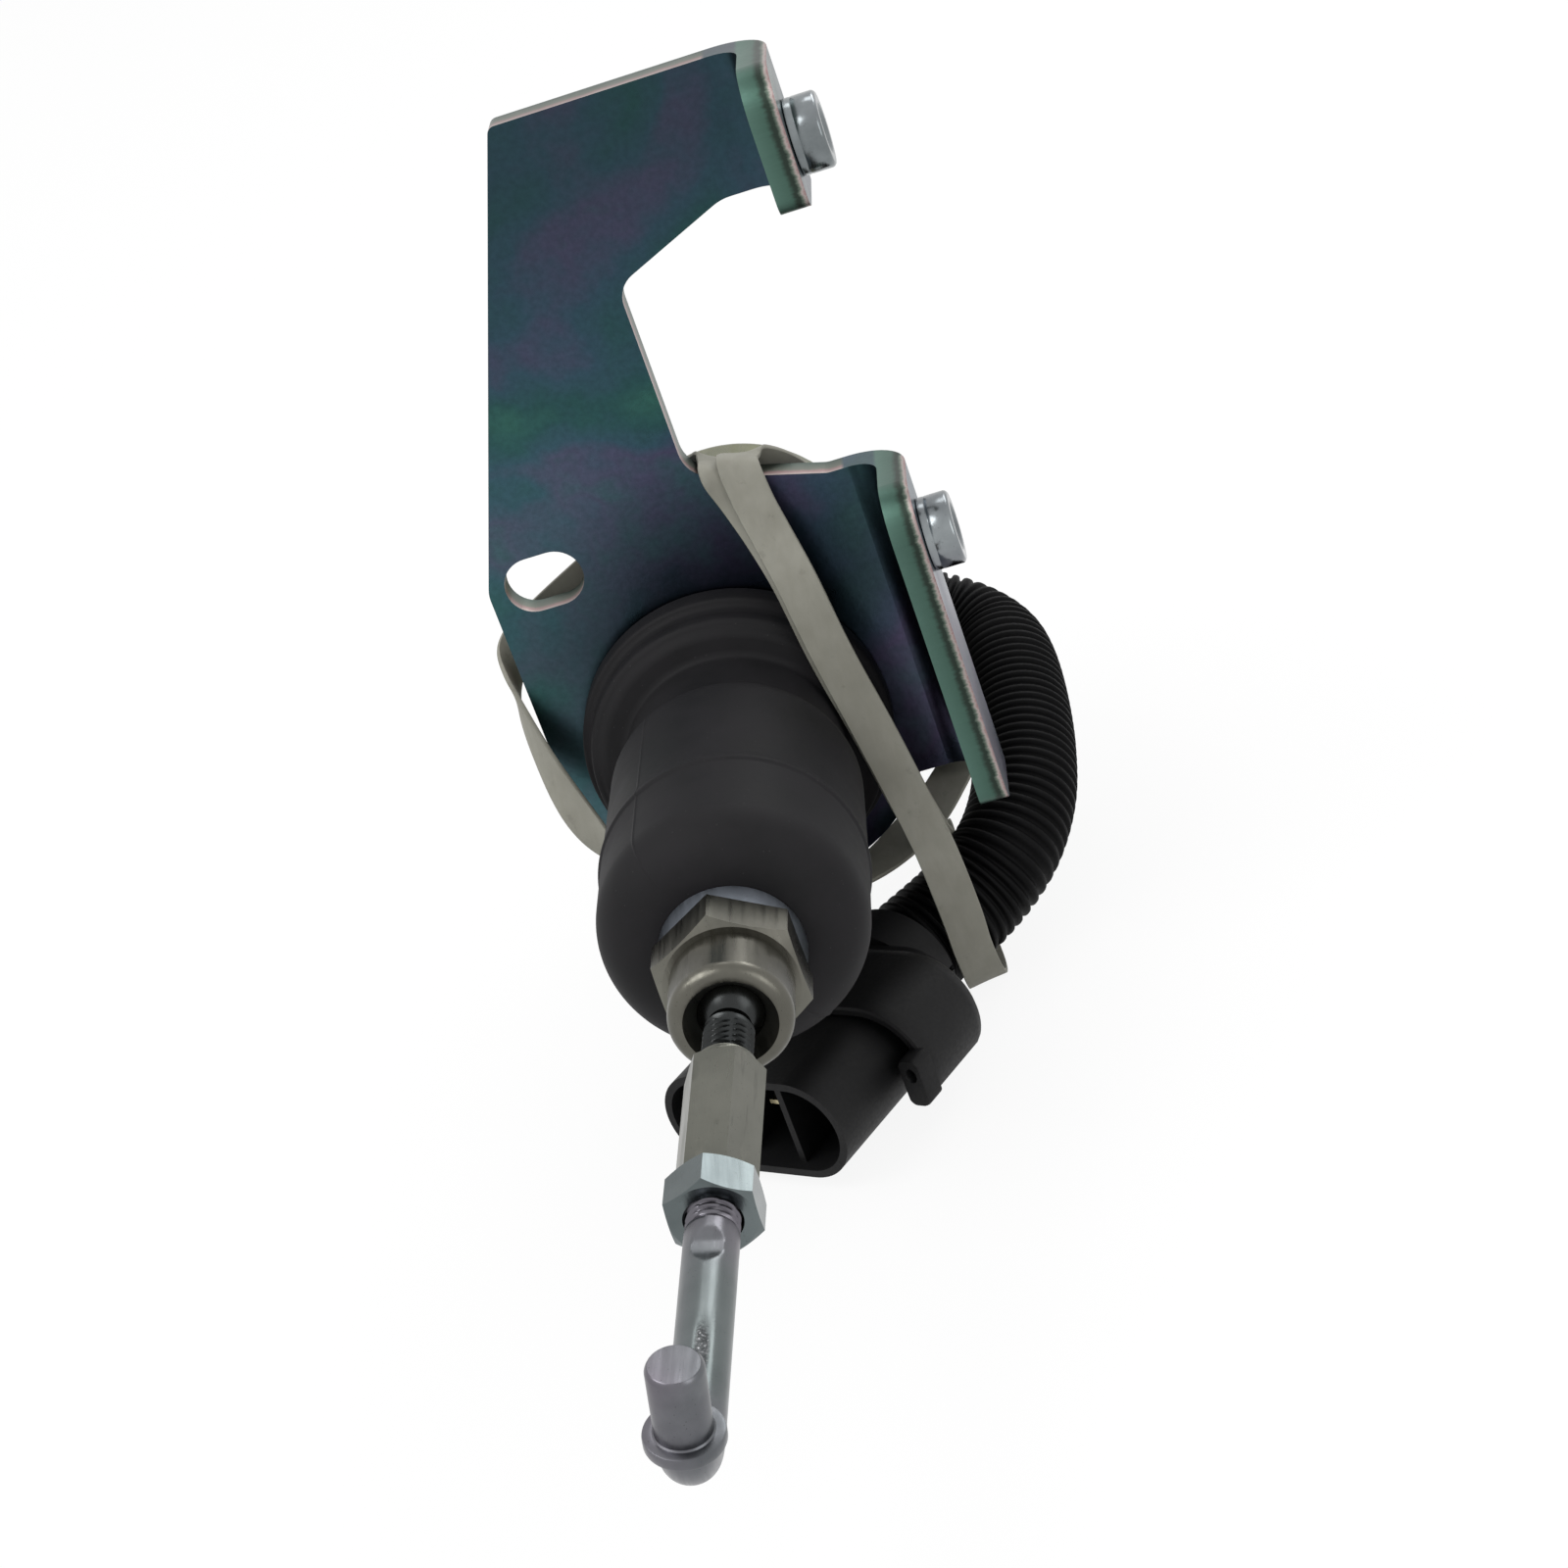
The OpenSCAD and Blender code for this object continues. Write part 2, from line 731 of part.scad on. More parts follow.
module plunger() {
    color("Silver")
        on_axis()
        difference() {
            union() {
                translate([0, 0, -plunger_back]) cylinder(r = plunger_r, h = plunger_back + neck_len - 1);
                translate([0, 0, neck_len - 1]) cylinder(r1 = plunger_r, r2 = plunger_r - 1, h = 1);
                cylinder(r = shaft_r, h = shaft_end);
                cylinder(r = spigot_r, h = spigot_end);
            }
            translate([0, 0, -plunger_back - cut]) cylinder(r = pocket_r, h = pocket_len + cut);
        }
}

module boot() {
    dome_r = boot_r - 0.05 - boot_front_r;
    dome_h = boot_face - dome_from;
    shoulder = [for (i = [0:dome_steps]) let (a = 90 * i / dome_steps)
        [boot_front_r + dome_r * cos(a), dome_from + dome_h * sin(a)]];
    hollow = [for (i = [dome_steps:-1:0]) let (a = 90 * i / dome_steps)
        [boot_front_r + (dome_r - boot_wall) * cos(a),
            dome_from + (dome_h - boot_wall) * sin(a)]];
    color("DimGray")
        on_axis()
        rotate_extrude()
        polygon(concat(
            [[ring_r + 0.5, boot_base], [boot_lip_r - 0.4, boot_base],
                [boot_lip_r, boot_base + 0.4], [boot_lip_r, boot_base + lip_h],
                [groove_r, groove_from], [groove_r - 0.4, groove_to],
                [boot_lip2_r, lip2_from], [boot_lip2_r, lip2_to],
                [boot_neck_r + 4.7, lip2_to + 0.8], [boot_neck_r + 4.2, lip2_to + 1.5],
                [boot_neck_r + 0.6, neck_from - 0.4], [boot_neck_r, neck_from + 0.4],
                [boot_neck_r, neck_to], [boot_r - 0.8, barrel_from - 0.5],
                [boot_r - 0.4, barrel_from + 0.6],
                [boot_r - 0.1, parting_u - 3], [boot_r + parting_h - 0.1, parting_u],
                [boot_r - 0.05, parting_u + 1]],
            shoulder,
            [[shaft_r + seat_gap, boot_face], [shaft_r + seat_gap, boot_face - boot_wall]],
            hollow,
            [[boot_r - boot_wall, parting_u], [boot_r - boot_wall - 0.4, barrel_from + 1.2],
                [boot_neck_r - boot_wall, neck_to + 1], [boot_neck_r - boot_wall, neck_from - 2],
                [neck_r + 0.5, lip2_to - 0.3], [neck_r + 0.5, ring_h + 1.2],
                [ring_r + 0.5, ring_h + 0.3]]
        ));
}

module end_washer() {
    color("SlateGray")
        on_axis(washer_from)
        difference() {
            cylinder(r1 = washer_r, r2 = washer_front_r, h = washer_t);
            translate([0, 0, -cut]) cylinder(r = spigot_r + run_gap, h = washer_t + 2 * cut);
        }
}

module swivel_nut() {
    round_r = 2.2;
    lip_rise = sqrt(pow(ball_r + ball_gap, 2) - pow(lip_r, 2));
    lip_at = ball_u + lip_rise;
    color("Silver")
        on_axis()
        difference() {
            union() {
                translate([0, 0, swivel_from])
                    hex_nut(swivel_af, swivel_hex_h, swivel_turn, false, true);
                rotate_extrude() difference() {
                    union() {
                        translate([0, hex_to - cut])
                            square([housing_r, housing_to - round_r - hex_to + cut]);
                        translate([0, hex_to - cut])
                            square([housing_r - round_r, housing_to - hex_to + cut]);
                        translate([housing_r - round_r, housing_to - round_r])
                            circle(r = round_r);
                    }
                    translate([-housing_r, 0]) square([housing_r, housing_to + cut]);
                }
            }
            translate([0, 0, swivel_from - cut])
                cylinder(r = spigot_r + run_gap, h = spigot_end + run_gap - swivel_from + cut);
            translate([0, 0, ball_u]) sphere(r = ball_r + ball_gap);
            translate([0, 0, lip_at - eps])
                cylinder(r1 = lip_r, r2 = mouth_r, h = housing_to - lip_at + 2 * eps);
        }
}

module ball_stud() {
    color("SlateGray")
        on_link() {
            sphere(r = ball_r);
            cylinder(r = stud_neck_r, h = stud_neck_to + 1);
            translate([0, 0, stud_neck_to]) cylinder(r = link_thread_r, h = stud_end - stud_neck_to);
        }
}

module coupling_nut() {
    nut_from = coupling_from + hub_len;
    color("Tan")
        on_link()
        difference() {
            union() {
                translate([0, 0, nut_from])
                    hex_nut(coupling_af, coupling_to - nut_from, coupling_turn, true, false);
                translate([0, 0, coupling_from]) cylinder(r = hub_r + 0.35, h = hub_len + eps);
            }
            translate([0, 0, coupling_from - cut])
                cylinder(r = thread_bore_r, h = coupling_to - coupling_from + 2 * cut);
        }
}

module jam_nut() {
    color("LightSteelBlue")
        on_link(jam_from)
        difference() {
            hex_nut(jam_af, jam_h, jam_turn, true, true);
            translate([0, 0, -cut]) cylinder(r = thread_bore_r, h = jam_h + 2 * cut);
            translate([0, 0, jam_h - 0.5]) cylinder(r1 = thread_bore_r, r2 = jam_bore_r, h = 0.5 + eps);
        }
}

module hook_rod() {
    leg_from = hook_bend_r;
    color("Plum")
        on_link() {
            translate([0, 0, rod_thread_from])
                cylinder(r = link_thread_r, h = rod_from - rod_thread_from + eps);
            translate([0, 0, rod_from]) cylinder(r = rod_r, h = hook_reach - hook_bend_r - rod_from);
            translate([0, hook_bend_r, hook_reach - hook_bend_r])
                rotate([180, 0, 0])
                rotate([0, 90, 0])
                rotate_extrude(angle = 90) translate([hook_bend_r, 0]) circle(r = rod_r);
            translate([0, leg_from, hook_reach]) rotate([-90, 0, 0]) {
                translate([0, 0, collar_top - collar_t - leg_from])
                    cylinder(r = collar_r, h = collar_t);
                cylinder(r = pin_r, h = pin_top - pin_chamfer - leg_from);
                translate([0, 0, pin_top - pin_chamfer - leg_from])
                    cylinder(r1 = pin_r, r2 = pin_r - pin_chamfer / 2, h = pin_chamfer);
            }
        }
}

module cable_gland() {
    color("DimGray")
        at_solenoid()
        difference() {
            translate(gland_at) rotate([0, 90 - gland_angle, 0]) {
                translate([0, 0, can_r - 4]) cylinder(r = gland_r, h = gland_tip - can_r + 4);
            }
            rotate([-90, 0, 0]) cylinder(r = can_r + run_gap / 2, h = sheet_t + can_len);
            translate(gland_at) rotate([0, 90 - gland_angle, 0])
                translate([0, 0, gland_floor]) cylinder(r = loom_r + seat_gap, h = gland_len);
        }
}

module wire_loom() {
    color("Black")
        at_solenoid() sweep_tube(loom_path, loom_r, loom_r - loom_wall, loom_sides);
}

module wire(colour, turn) {
    color(colour)
        at_solenoid()
        sweep_solid(loom_path, wire_r, wire_sides, [wire_off * cos(turn), wire_off * sin(turn)]);
}

module pull_wire() {
    wire("Firebrick", 90);
}

module hold_wire() {
    wire("WhiteSmoke", 210);
}

module ground_wire() {
    wire("Black", 330);
}

module stadium(w, h) {
    square([w - h, h], center = true);
    for (s = [-1, 1]) translate([s * (w - h) / 2, 0]) circle(d = h);
}

cavity_pitch = (shell_w - 2 * shell_wall + rib_t) / 3;

module connector_shell() {
    core_w = shell_w - 2 * shell_wall;
    core_h = shell_h - 2 * shell_wall;
    seal_from = shell_len - 8;
    color("Black")
        on_shell()
        difference() {
            union() {
                linear_extrude(shell_len) stadium(shell_w, shell_h);
                translate([0, 0, shell_len - eps]) cylinder(r = sleeve_r, h = sleeve_len + eps);
            }
            translate([0, 0, -cut]) linear_extrude(mouth_depth + cut) difference() {
                stadium(core_w, core_h);
                for (s = [-1, 1])
                    translate([s * cavity_pitch / 2, 0]) square([rib_t, shell_h], center = true);
            }
            translate([0, 0, -cut]) linear_extrude(2 + cut) stadium(core_w, core_h);
            for (k = [-1:1]) translate([k * cavity_pitch, 0, 0])
                cube([blade_w + 2 * run_gap, blade_t + 2 * run_gap, 4 * shell_len], center = true);
            translate([0, 0, seal_from]) cylinder(r = seal_r + run_gap, h = socket_floor - seal_from + cut);
            translate([0, 0, socket_floor]) cylinder(r = loom_r + seat_gap, h = sleeve_len);
        }
}

module connector_lock() {
    lock_w = shell_w + 2 * lock_wall + 2 * run_gap;
    lock_h = shell_h + 2 * lock_wall + 2 * run_gap;
    loop_w = 7;
    color("Black")
        on_shell(lock_from)
        difference() {
            union() {
                linear_extrude(lock_len) stadium(lock_w, lock_h);
                translate([-lock_w / 2 - loop_w + 4, -lock_h / 4, 3])
                    cube([loop_w, lock_h / 4, lock_len - 6]);
            }
            translate([0, 0, -cut])
                linear_extrude(lock_len + 2 * cut)
                stadium(shell_w + 2 * run_gap, shell_h + 2 * run_gap);
            translate([-lock_w / 2 - 0.6, 0, lock_len / 2])
                rotate([90, 0, 0]) cylinder(r = 1.5, h = lock_h, center = true);
        }
}

module wire_seal() {
    seal_t = 8.9;
    color("DarkOrange")
        on_shell(shell_len - 7)
        cylinder(r = seal_r, h = seal_t);
}

module contact(k) {
    color("Gold")
        on_shell()
        translate([k * cavity_pitch - blade_w / 2, -blade_t / 2, mouth_depth - blade_len])
        cube([blade_w, blade_t, blade_len + 12]);
}

module left_contact() {
    contact(1);
}

module middle_contact() {
    contact(0);
}

module right_contact() {
    contact(-1);
}

function band_frame(i) =
    let (
        n = len(band_path),
        at = band_path[i],
        p = [at[0], at[1], at[2]],
        q = band_path[wrap(i + 1, n)],
        b = band_path[wrap(i - 1, n)],
        t = unit([q[0] - b[0], q[1] - b[1], q[2] - b[2]]),
        w0 = [at[3], at[4], at[5]],
        w = unit(w0 - t * (w0 * t)),
        m = cross(t, w)
    )
    [for (s = [[1, 1], [-1, 1], [-1, -1], [1, -1]])
        p + w * (s[0] * band_w / 2) + m * (s[1] * band_t / 2)];

module rubber_band() {
    n = len(band_path);
    color("Wheat")
        at_solenoid()
        polyhedron(
            points = [for (i = [0:n - 1]) each band_frame(i)],
            faces = [for (i = [0:n - 1]) for (j = [0:3])
                let (k = wrap(i + 1, n), a = 4 * i + j, b = 4 * i + (j + 1) % 4,
                    c = 4 * k + (j + 1) % 4, d = 4 * k + j)
                each [[a, d, c], [a, c, b]]]
        );
}

bracket();
upper_clinch_nut();
lower_clinch_nut();
solenoid_can();
front_pole_plate();
lock_ring();
rear_pole();
coil_bobbin();
pull_coil();
hold_coil();
guide_tube();
return_spring();
plunger();
boot();
end_washer();
swivel_nut();
ball_stud();
coupling_nut();
jam_nut();
hook_rod();
cable_gland();
wire_loom();
pull_wire();
hold_wire();
ground_wire();
connector_shell();
connector_lock();
wire_seal();
left_contact();
middle_contact();
right_contact();
rubber_band();
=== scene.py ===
import math

import bmesh
import bpy
import numpy as np
from mathutils import Euler, Matrix, Vector


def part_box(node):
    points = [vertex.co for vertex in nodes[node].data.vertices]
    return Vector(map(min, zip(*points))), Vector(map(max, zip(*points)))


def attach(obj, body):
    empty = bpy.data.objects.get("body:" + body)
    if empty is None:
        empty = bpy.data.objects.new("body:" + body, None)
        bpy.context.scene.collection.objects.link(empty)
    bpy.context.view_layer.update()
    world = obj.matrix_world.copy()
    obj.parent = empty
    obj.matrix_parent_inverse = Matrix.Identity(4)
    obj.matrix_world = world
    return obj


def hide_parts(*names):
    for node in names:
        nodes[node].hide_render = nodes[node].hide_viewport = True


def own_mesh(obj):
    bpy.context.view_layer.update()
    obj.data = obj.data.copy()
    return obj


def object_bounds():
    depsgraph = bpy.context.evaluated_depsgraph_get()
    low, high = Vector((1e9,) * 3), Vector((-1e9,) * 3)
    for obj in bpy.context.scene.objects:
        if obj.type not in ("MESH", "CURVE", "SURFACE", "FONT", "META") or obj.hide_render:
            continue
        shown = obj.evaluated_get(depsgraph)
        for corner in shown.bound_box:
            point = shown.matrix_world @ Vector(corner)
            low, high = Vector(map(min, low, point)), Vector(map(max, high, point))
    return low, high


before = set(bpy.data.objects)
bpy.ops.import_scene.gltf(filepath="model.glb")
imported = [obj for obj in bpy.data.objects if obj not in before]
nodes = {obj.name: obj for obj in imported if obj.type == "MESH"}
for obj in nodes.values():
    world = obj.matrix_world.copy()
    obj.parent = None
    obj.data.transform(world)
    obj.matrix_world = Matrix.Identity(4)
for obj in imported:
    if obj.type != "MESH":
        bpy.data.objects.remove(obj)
cad_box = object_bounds()

# Sizes are in millimetres on the solenoid's own axis (x right, y back, z up).
# row() turns them into the row frame, whose origin is the lower mounting nut.
MM = 0.001
AXIS = np.array([43.0, -12.0, 30.0])
ROOT = "housing"


def row(points):
    return (np.asarray(points, float) - AXIS) * MM


# camera
cam_data = bpy.data.cameras.new("camera")
cam = bpy.data.objects.new("camera", cam_data)
bpy.context.scene.collection.objects.link(cam)
cam_data.lens = 80.05
cam_data.sensor_width = 36.0
cam_data.clip_start = 0.01
cam_data.clip_end = 20.0
cam.location = (0.048872, -0.537623, 0.223112)
cam.rotation_euler = Euler(
    (math.radians(63.019), math.radians(18.137), math.radians(0.075))
)
bpy.context.scene.camera = cam
bpy.context.scene.view_settings.view_transform = "Standard"


# mesh tools
def make_mesh(name, verts, faces):
    me = bpy.data.meshes.new(name)
    me.from_pydata([tuple(v) for v in verts], [], [tuple(f) for f in faces])
    me.validate()
    me.update()
    me.polygons.foreach_set("use_smooth", [True] * len(me.polygons))
    ob = bpy.data.objects.new(name, me)
    bpy.context.scene.collection.objects.link(ob)
    return ob


def grid_faces(n_rings, n_sides, close_rings=False):
    faces = []
    last = n_rings if close_rings else n_rings - 1
    for i in range(last):
        a = i * n_sides
        b = ((i + 1) % n_rings) * n_sides
        for j in range(n_sides):
            k = (j + 1) % n_sides
            faces.append((a + j, a + k, b + k, b + j))
    return faces


def end_caps(n_rings, n_sides):
    first = tuple(range(n_sides - 1, -1, -1))
    last = tuple((n_rings - 1) * n_sides + j for j in range(n_sides))
    return [first, last]


def curve_points(route, steps, closed=False):
    """The same smooth curve as in the part's source, more finely stepped."""
    p = np.asarray(route, float)
    n = len(p)
    out = []
    for i in range(n if closed else n - 1):
        b, c = p[i], p[(i + 1) % n]
        a = p[(i - 1) % n] if closed or i > 0 else 2 * p[0] - p[1]
        d = p[(i + 2) % n] if closed or i + 2 < n else 2 * p[-1] - p[-2]
        for j in range(steps):
            t = j / steps
            cubic = (3 * b - a - 3 * c + d) * t**3
            square = (2 * a - 5 * b + 4 * c - d) * t * t
            out.append(0.5 * (2 * b + (c - a) * t + square + cubic))
    if not closed:
        out.append(p[-1])
    return np.array(out)


def resample(points, step):
    seg = np.linalg.norm(np.diff(points, axis=0), axis=1)
    s = np.concatenate([[0.0], np.cumsum(seg)])
    n = max(2, int(round(s[-1] / step)) + 1)
    t = np.linspace(0.0, s[-1], n)
    return t, np.stack([np.interp(t, s, points[:, k]) for k in range(3)], axis=1)


def path_frames(points):
    tangent = np.gradient(points, axis=0)
    tangent /= np.linalg.norm(tangent, axis=1)[:, None]
    side = np.cross(tangent, [0.0, 0.0, 1.0])
    side /= np.linalg.norm(side, axis=1)[:, None]
    return tangent, side, np.cross(side, tangent)


def tidy_normals(ob, angle=35.0):
    bm = bmesh.new()
    bm.from_mesh(ob.data)
    bmesh.ops.recalc_face_normals(bm, faces=bm.faces)
    limit = math.radians(angle)
    for e in bm.edges:
        if len(e.link_faces) == 2:
            e.smooth = e.calc_face_angle(0.0) < limit
    bm.to_mesh(ob.data)
    bm.free()
    ob.data.update()


def turn(degrees, axis):
    return Matrix.Rotation(math.radians(degrees), 4, axis)


def on_axis_matrix():
    """Local z runs out along the plunger, x right, y up."""
    return Matrix.Translation(row([0, 0, 0])) @ turn(90, "X")


# how the link hangs from the ball, in degrees, and how far out the ball is
DROOP, SWEEP, PIN_TURN = 7.1, 4.7, 13.2
BALL_U = 94.9


def on_link_matrix():
    """Local z runs from the ball's centre along the link, y towards the pin's side."""
    tilt = Euler((math.radians(DROOP), 0, -math.radians(SWEEP))).to_matrix().to_4x4()
    ball = Matrix.Translation(row([0, -BALL_U, 0]))
    return ball @ tilt @ turn(PIN_TURN, "Y") @ turn(90, "X")


# the middle of the plug's mouth, and the way the plug runs back from it
MOUTH_AT = np.array([-10.9, -60.0, -43.0])
SHELL_YAW = math.radians(33.4)
SHELL_DIR = np.array([math.sin(SHELL_YAW), math.cos(SHELL_YAW), 0.0])


def on_shell_matrix():
    """Local z runs back from the plug's mouth, x left, y up."""
    yaw = Matrix.Rotation(math.pi - SHELL_YAW, 4, "Z")
    return Matrix.Translation(row(MOUTH_AT)) @ yaw @ turn(90, "X")


# M8 thread: its pitch, and rings to a turn
PITCH = 1.25
THREAD_STEPS = 8

# the scar on the rod: along the link, and to the right of the rod's middle
SCAR_Z, SCAR_X = 78.5, 0.4


def thread_wave(z, ang):
    """0 at a groove's bottom, 1 on the crest, once round per turn."""
    phase = (z / PITCH + ang / (2 * math.pi)) % 1.0
    flank = 2.5
    return np.clip(flank / 2 - flank * np.abs(2 * phase - 1.0), 0.0, 1.0)


def turned(name, profile, matrix, sides=96, thread=None, closed=False):
    """A turned piece from (radius, height) pairs in millimetres.

    thread = (root, crest, from, to) adds a screw thread after the profile.
    """
    ang = np.linspace(0, 2 * math.pi, sides, endpoint=False)
    rings = [(np.full(sides, float(r)), float(z)) for r, z in profile]
    if thread:
        root, crest, start, stop = thread
        n = int(abs(stop - start) / PITCH * THREAD_STEPS)
        for z in np.linspace(start, stop, n + 1)[1:-1]:
            fade = min(1.0, abs(z - start) / PITCH, abs(stop - z) / PITCH)
            rings.append((root + (crest - root) * (1 - fade * (1 - thread_wave(z, ang))), z))
    verts = [
        np.stack([r * np.cos(ang), r * np.sin(ang), np.full(sides, z)], axis=1)
        for r, z in rings
    ]
    faces = grid_faces(len(rings), sides, close_rings=closed)
    if not closed:
        faces += end_caps(len(rings), sides)
    ob = make_mesh(name, np.concatenate(verts) * MM, faces)
    ob.data.transform(matrix)
    tidy_normals(ob)
    return ob


# materials
def set_stops(ramp, stops):
    """Colours, or plain greys, along a colour ramp."""
    e = ramp.color_ramp.elements
    while len(e) < len(stops):
        e.new(0.5)
    for item, (at, colour) in zip(e, stops):
        item.position = at
        if not hasattr(colour, "__len__"):
            colour = (colour, colour, colour)
        item.color = (*colour, 1.0)


class Mat:
    """A node material on the Principled shader, built from object coordinates."""

    def __init__(self, name, metallic=0.0, roughness=0.5):
        self.m = bpy.data.materials.new(name)
        self.m.use_nodes = True
        self.t = self.m.node_tree
        self.bsdf = self.t.nodes["Principled BSDF"]
        self.bsdf.inputs["Metallic"].default_value = metallic
        self.bsdf.inputs["Roughness"].default_value = roughness
        self.pos = self.add("ShaderNodeTexCoord").outputs["Object"]

    def add(self, kind, **props):
        n = self.t.nodes.new(kind)
        for k, v in props.items():
            setattr(n, k, v)
        return n

    def link(self, a, b):
        self.t.links.new(a, b)

    def feed(self, socket, value):
        """Link a socket, or set a number or a colour on the socket itself."""
        if isinstance(value, bpy.types.NodeSocket):
            self.link(value, socket)
        elif isinstance(value, tuple) and len(value) == 3:
            socket.default_value = (*value, 1.0)
        else:
            socket.default_value = value

    def mapped(self, scale=(1, 1, 1), rotation=(0, 0, 0), location=(0, 0, 0), vector=None):
        n = self.add("ShaderNodeMapping")
        self.link(vector or self.pos, n.inputs["Vector"])
        n.inputs["Scale"].default_value = scale
        n.inputs["Rotation"].default_value = rotation
        n.inputs["Location"].default_value = location
        return n.outputs["Vector"]

    def noise(self, scale, detail=4.0, rough=0.55, vector=None, distortion=0.0):
        n = self.add("ShaderNodeTexNoise")
        self.link(vector or self.pos, n.inputs["Vector"])
        n.inputs["Scale"].default_value = scale
        n.inputs["Detail"].default_value = detail
        n.inputs["Roughness"].default_value = rough
        n.inputs["Distortion"].default_value = distortion
        return n.outputs["Fac"]

    def voronoi(self, scale):
        n = self.add("ShaderNodeTexVoronoi")
        self.link(self.pos, n.inputs["Vector"])
        n.inputs["Scale"].default_value = scale
        return n.outputs["Distance"]

    def ramp(self, fac, stops):
        n = self.add("ShaderNodeValToRGB")
        set_stops(n, stops)
        self.link(fac, n.inputs["Fac"])
        return n.outputs["Color"]

    def span(self, value, lo, hi, to_lo=0.0, to_hi=1.0):
        n = self.add("ShaderNodeMapRange")
        self.feed(n.inputs["Value"], value)
        n.inputs["From Min"].default_value = lo
        n.inputs["From Max"].default_value = hi
        n.inputs["To Min"].default_value = to_lo
        n.inputs["To Max"].default_value = to_hi
        return n.outputs["Result"]

    def math(self, op, a, b=0.0):
        n = self.add("ShaderNodeMath", operation=op)
        self.feed(n.inputs[0], a)
        self.feed(n.inputs[1], b)
        return n.outputs["Value"]

    def times(self, a, b):
        return self.math("MULTIPLY", a, b)

    def plus(self, a, b):
        return self.math("ADD", a, b)

    def mix(self, fac, a, b):
        n = self.add("ShaderNodeMix", data_type="RGBA")
        self.feed(n.inputs[0], fac)
        self.feed(n.inputs[6], a)
        self.feed(n.inputs[7], b)
        return n.outputs[2]

    def axis(self, which):
        return self.part(self.pos, which)

    def normal(self, which):
        return self.part(self.add("ShaderNodeNewGeometry").outputs["Normal"], which)

    def local(self, matrix):
        """Object coordinates in the frame of a matrix, in metres."""
        shift = self.add("ShaderNodeVectorMath", operation="SUBTRACT")
        self.link(self.pos, shift.inputs[0])
        shift.inputs[1].default_value = matrix.translation
        join = self.add("ShaderNodeCombineXYZ")
        for k in range(3):
            dot = self.add("ShaderNodeVectorMath", operation="DOT_PRODUCT")
            self.link(shift.outputs["Vector"], dot.inputs[0])
            dot.inputs[1].default_value = matrix.col[k].xyz
            self.link(dot.outputs["Value"], join.inputs[k])
        return join.outputs["Vector"]

    def part(self, vector, which):
        n = self.add("ShaderNodeSeparateXYZ")
        self.link(vector, n.inputs[0])
        return n.outputs["XYZ".index(which)]

    def colour(self, value):
        self.feed(self.bsdf.inputs["Base Color"], value)

    def rough(self, value):
        self.feed(self.bsdf.inputs["Roughness"], value)

    def bump(self, height, strength, distance):
        n = self.add("ShaderNodeBump")
        n.inputs["Strength"].default_value = strength
        n.inputs["Distance"].default_value = distance
        self.link(height, n.inputs["Height"])
        self.link(n.outputs["Normal"], self.bsdf.inputs["Normal"])


def srgb(r, g, b):
    """A colour as read on the screen, 0 to 255, as linear light."""

    def f(v):
        v /= 255.0
        return v / 12.92 if v <= 0.04045 else ((v + 0.055) / 1.055) ** 2.4

    return (f(r), f(g), f(b))


def zinc(name, dark, light, tint, rough=(0.22, 0.42), frame_of=None, extra=None, bump=0.18):
    """Bright zinc plate: cloudy colour, fine scratches, a few dark specks."""
    m = Mat(name, metallic=1.0)
    spot = m.local(frame_of) if frame_of is not None else m.pos
    cloud_scale = 60.0
    cloud = m.noise(cloud_scale, 5.0, 0.6)
    drift = m.noise(cloud_scale * 0.35, 2.0, 0.5, distortion=0.8)
    base = m.ramp(cloud, [(0.3, dark), (0.7, light)])
    base = m.mix(m.span(drift, 0.42, 0.66, 0.0, 0.6), base, tint)
    specks = m.voronoi(1100.0)
    base = m.mix(m.span(specks, 0.05, 0.12, 0.55, 0.0), base, srgb(40, 40, 38))
    streak = m.noise(1.0, 3.0, 0.6, m.mapped((900, 40, 60), (0.3, 0.2, 0.7), vector=spot))
    height = m.plus(streak, m.times(cloud, 0.6))
    if extra is not None:
        base, height = extra(m, spot, base, height)
    m.colour(base)
    m.rough(m.span(streak, 0.3, 0.7, *rough))
    m.bump(height, bump, 0.00012)
    return m.m


def coupling_wear(m, spot, base, height):
    """Diagonal scratches on the flats, dull patches and turned rings on the hub."""
    lines = m.noise(1.0, 2.0, 0.5, m.mapped((40, 1500, 120), (0.5, 0.6, 0.2), vector=spot))
    base = m.mix(m.span(lines, 0.60, 0.72, 0.0, 0.4), base, srgb(58, 58, 54))
    patch = m.noise(240.0, 4.0, 0.65, m.mapped((1, 1, 0.35), vector=spot))
    base = m.mix(m.span(patch, 0.6, 0.75, 0.0, 0.35), base, srgb(138, 136, 126))
    along = m.part(spot, "Z")
    ring = m.math("SINE", m.times(along, 9000.0))
    hub_end = 0.0168
    hub = m.span(along, hub_end, 0.0172, 1.0, 0.0)
    return base, m.plus(height, m.times(ring, m.times(hub, 0.8)))


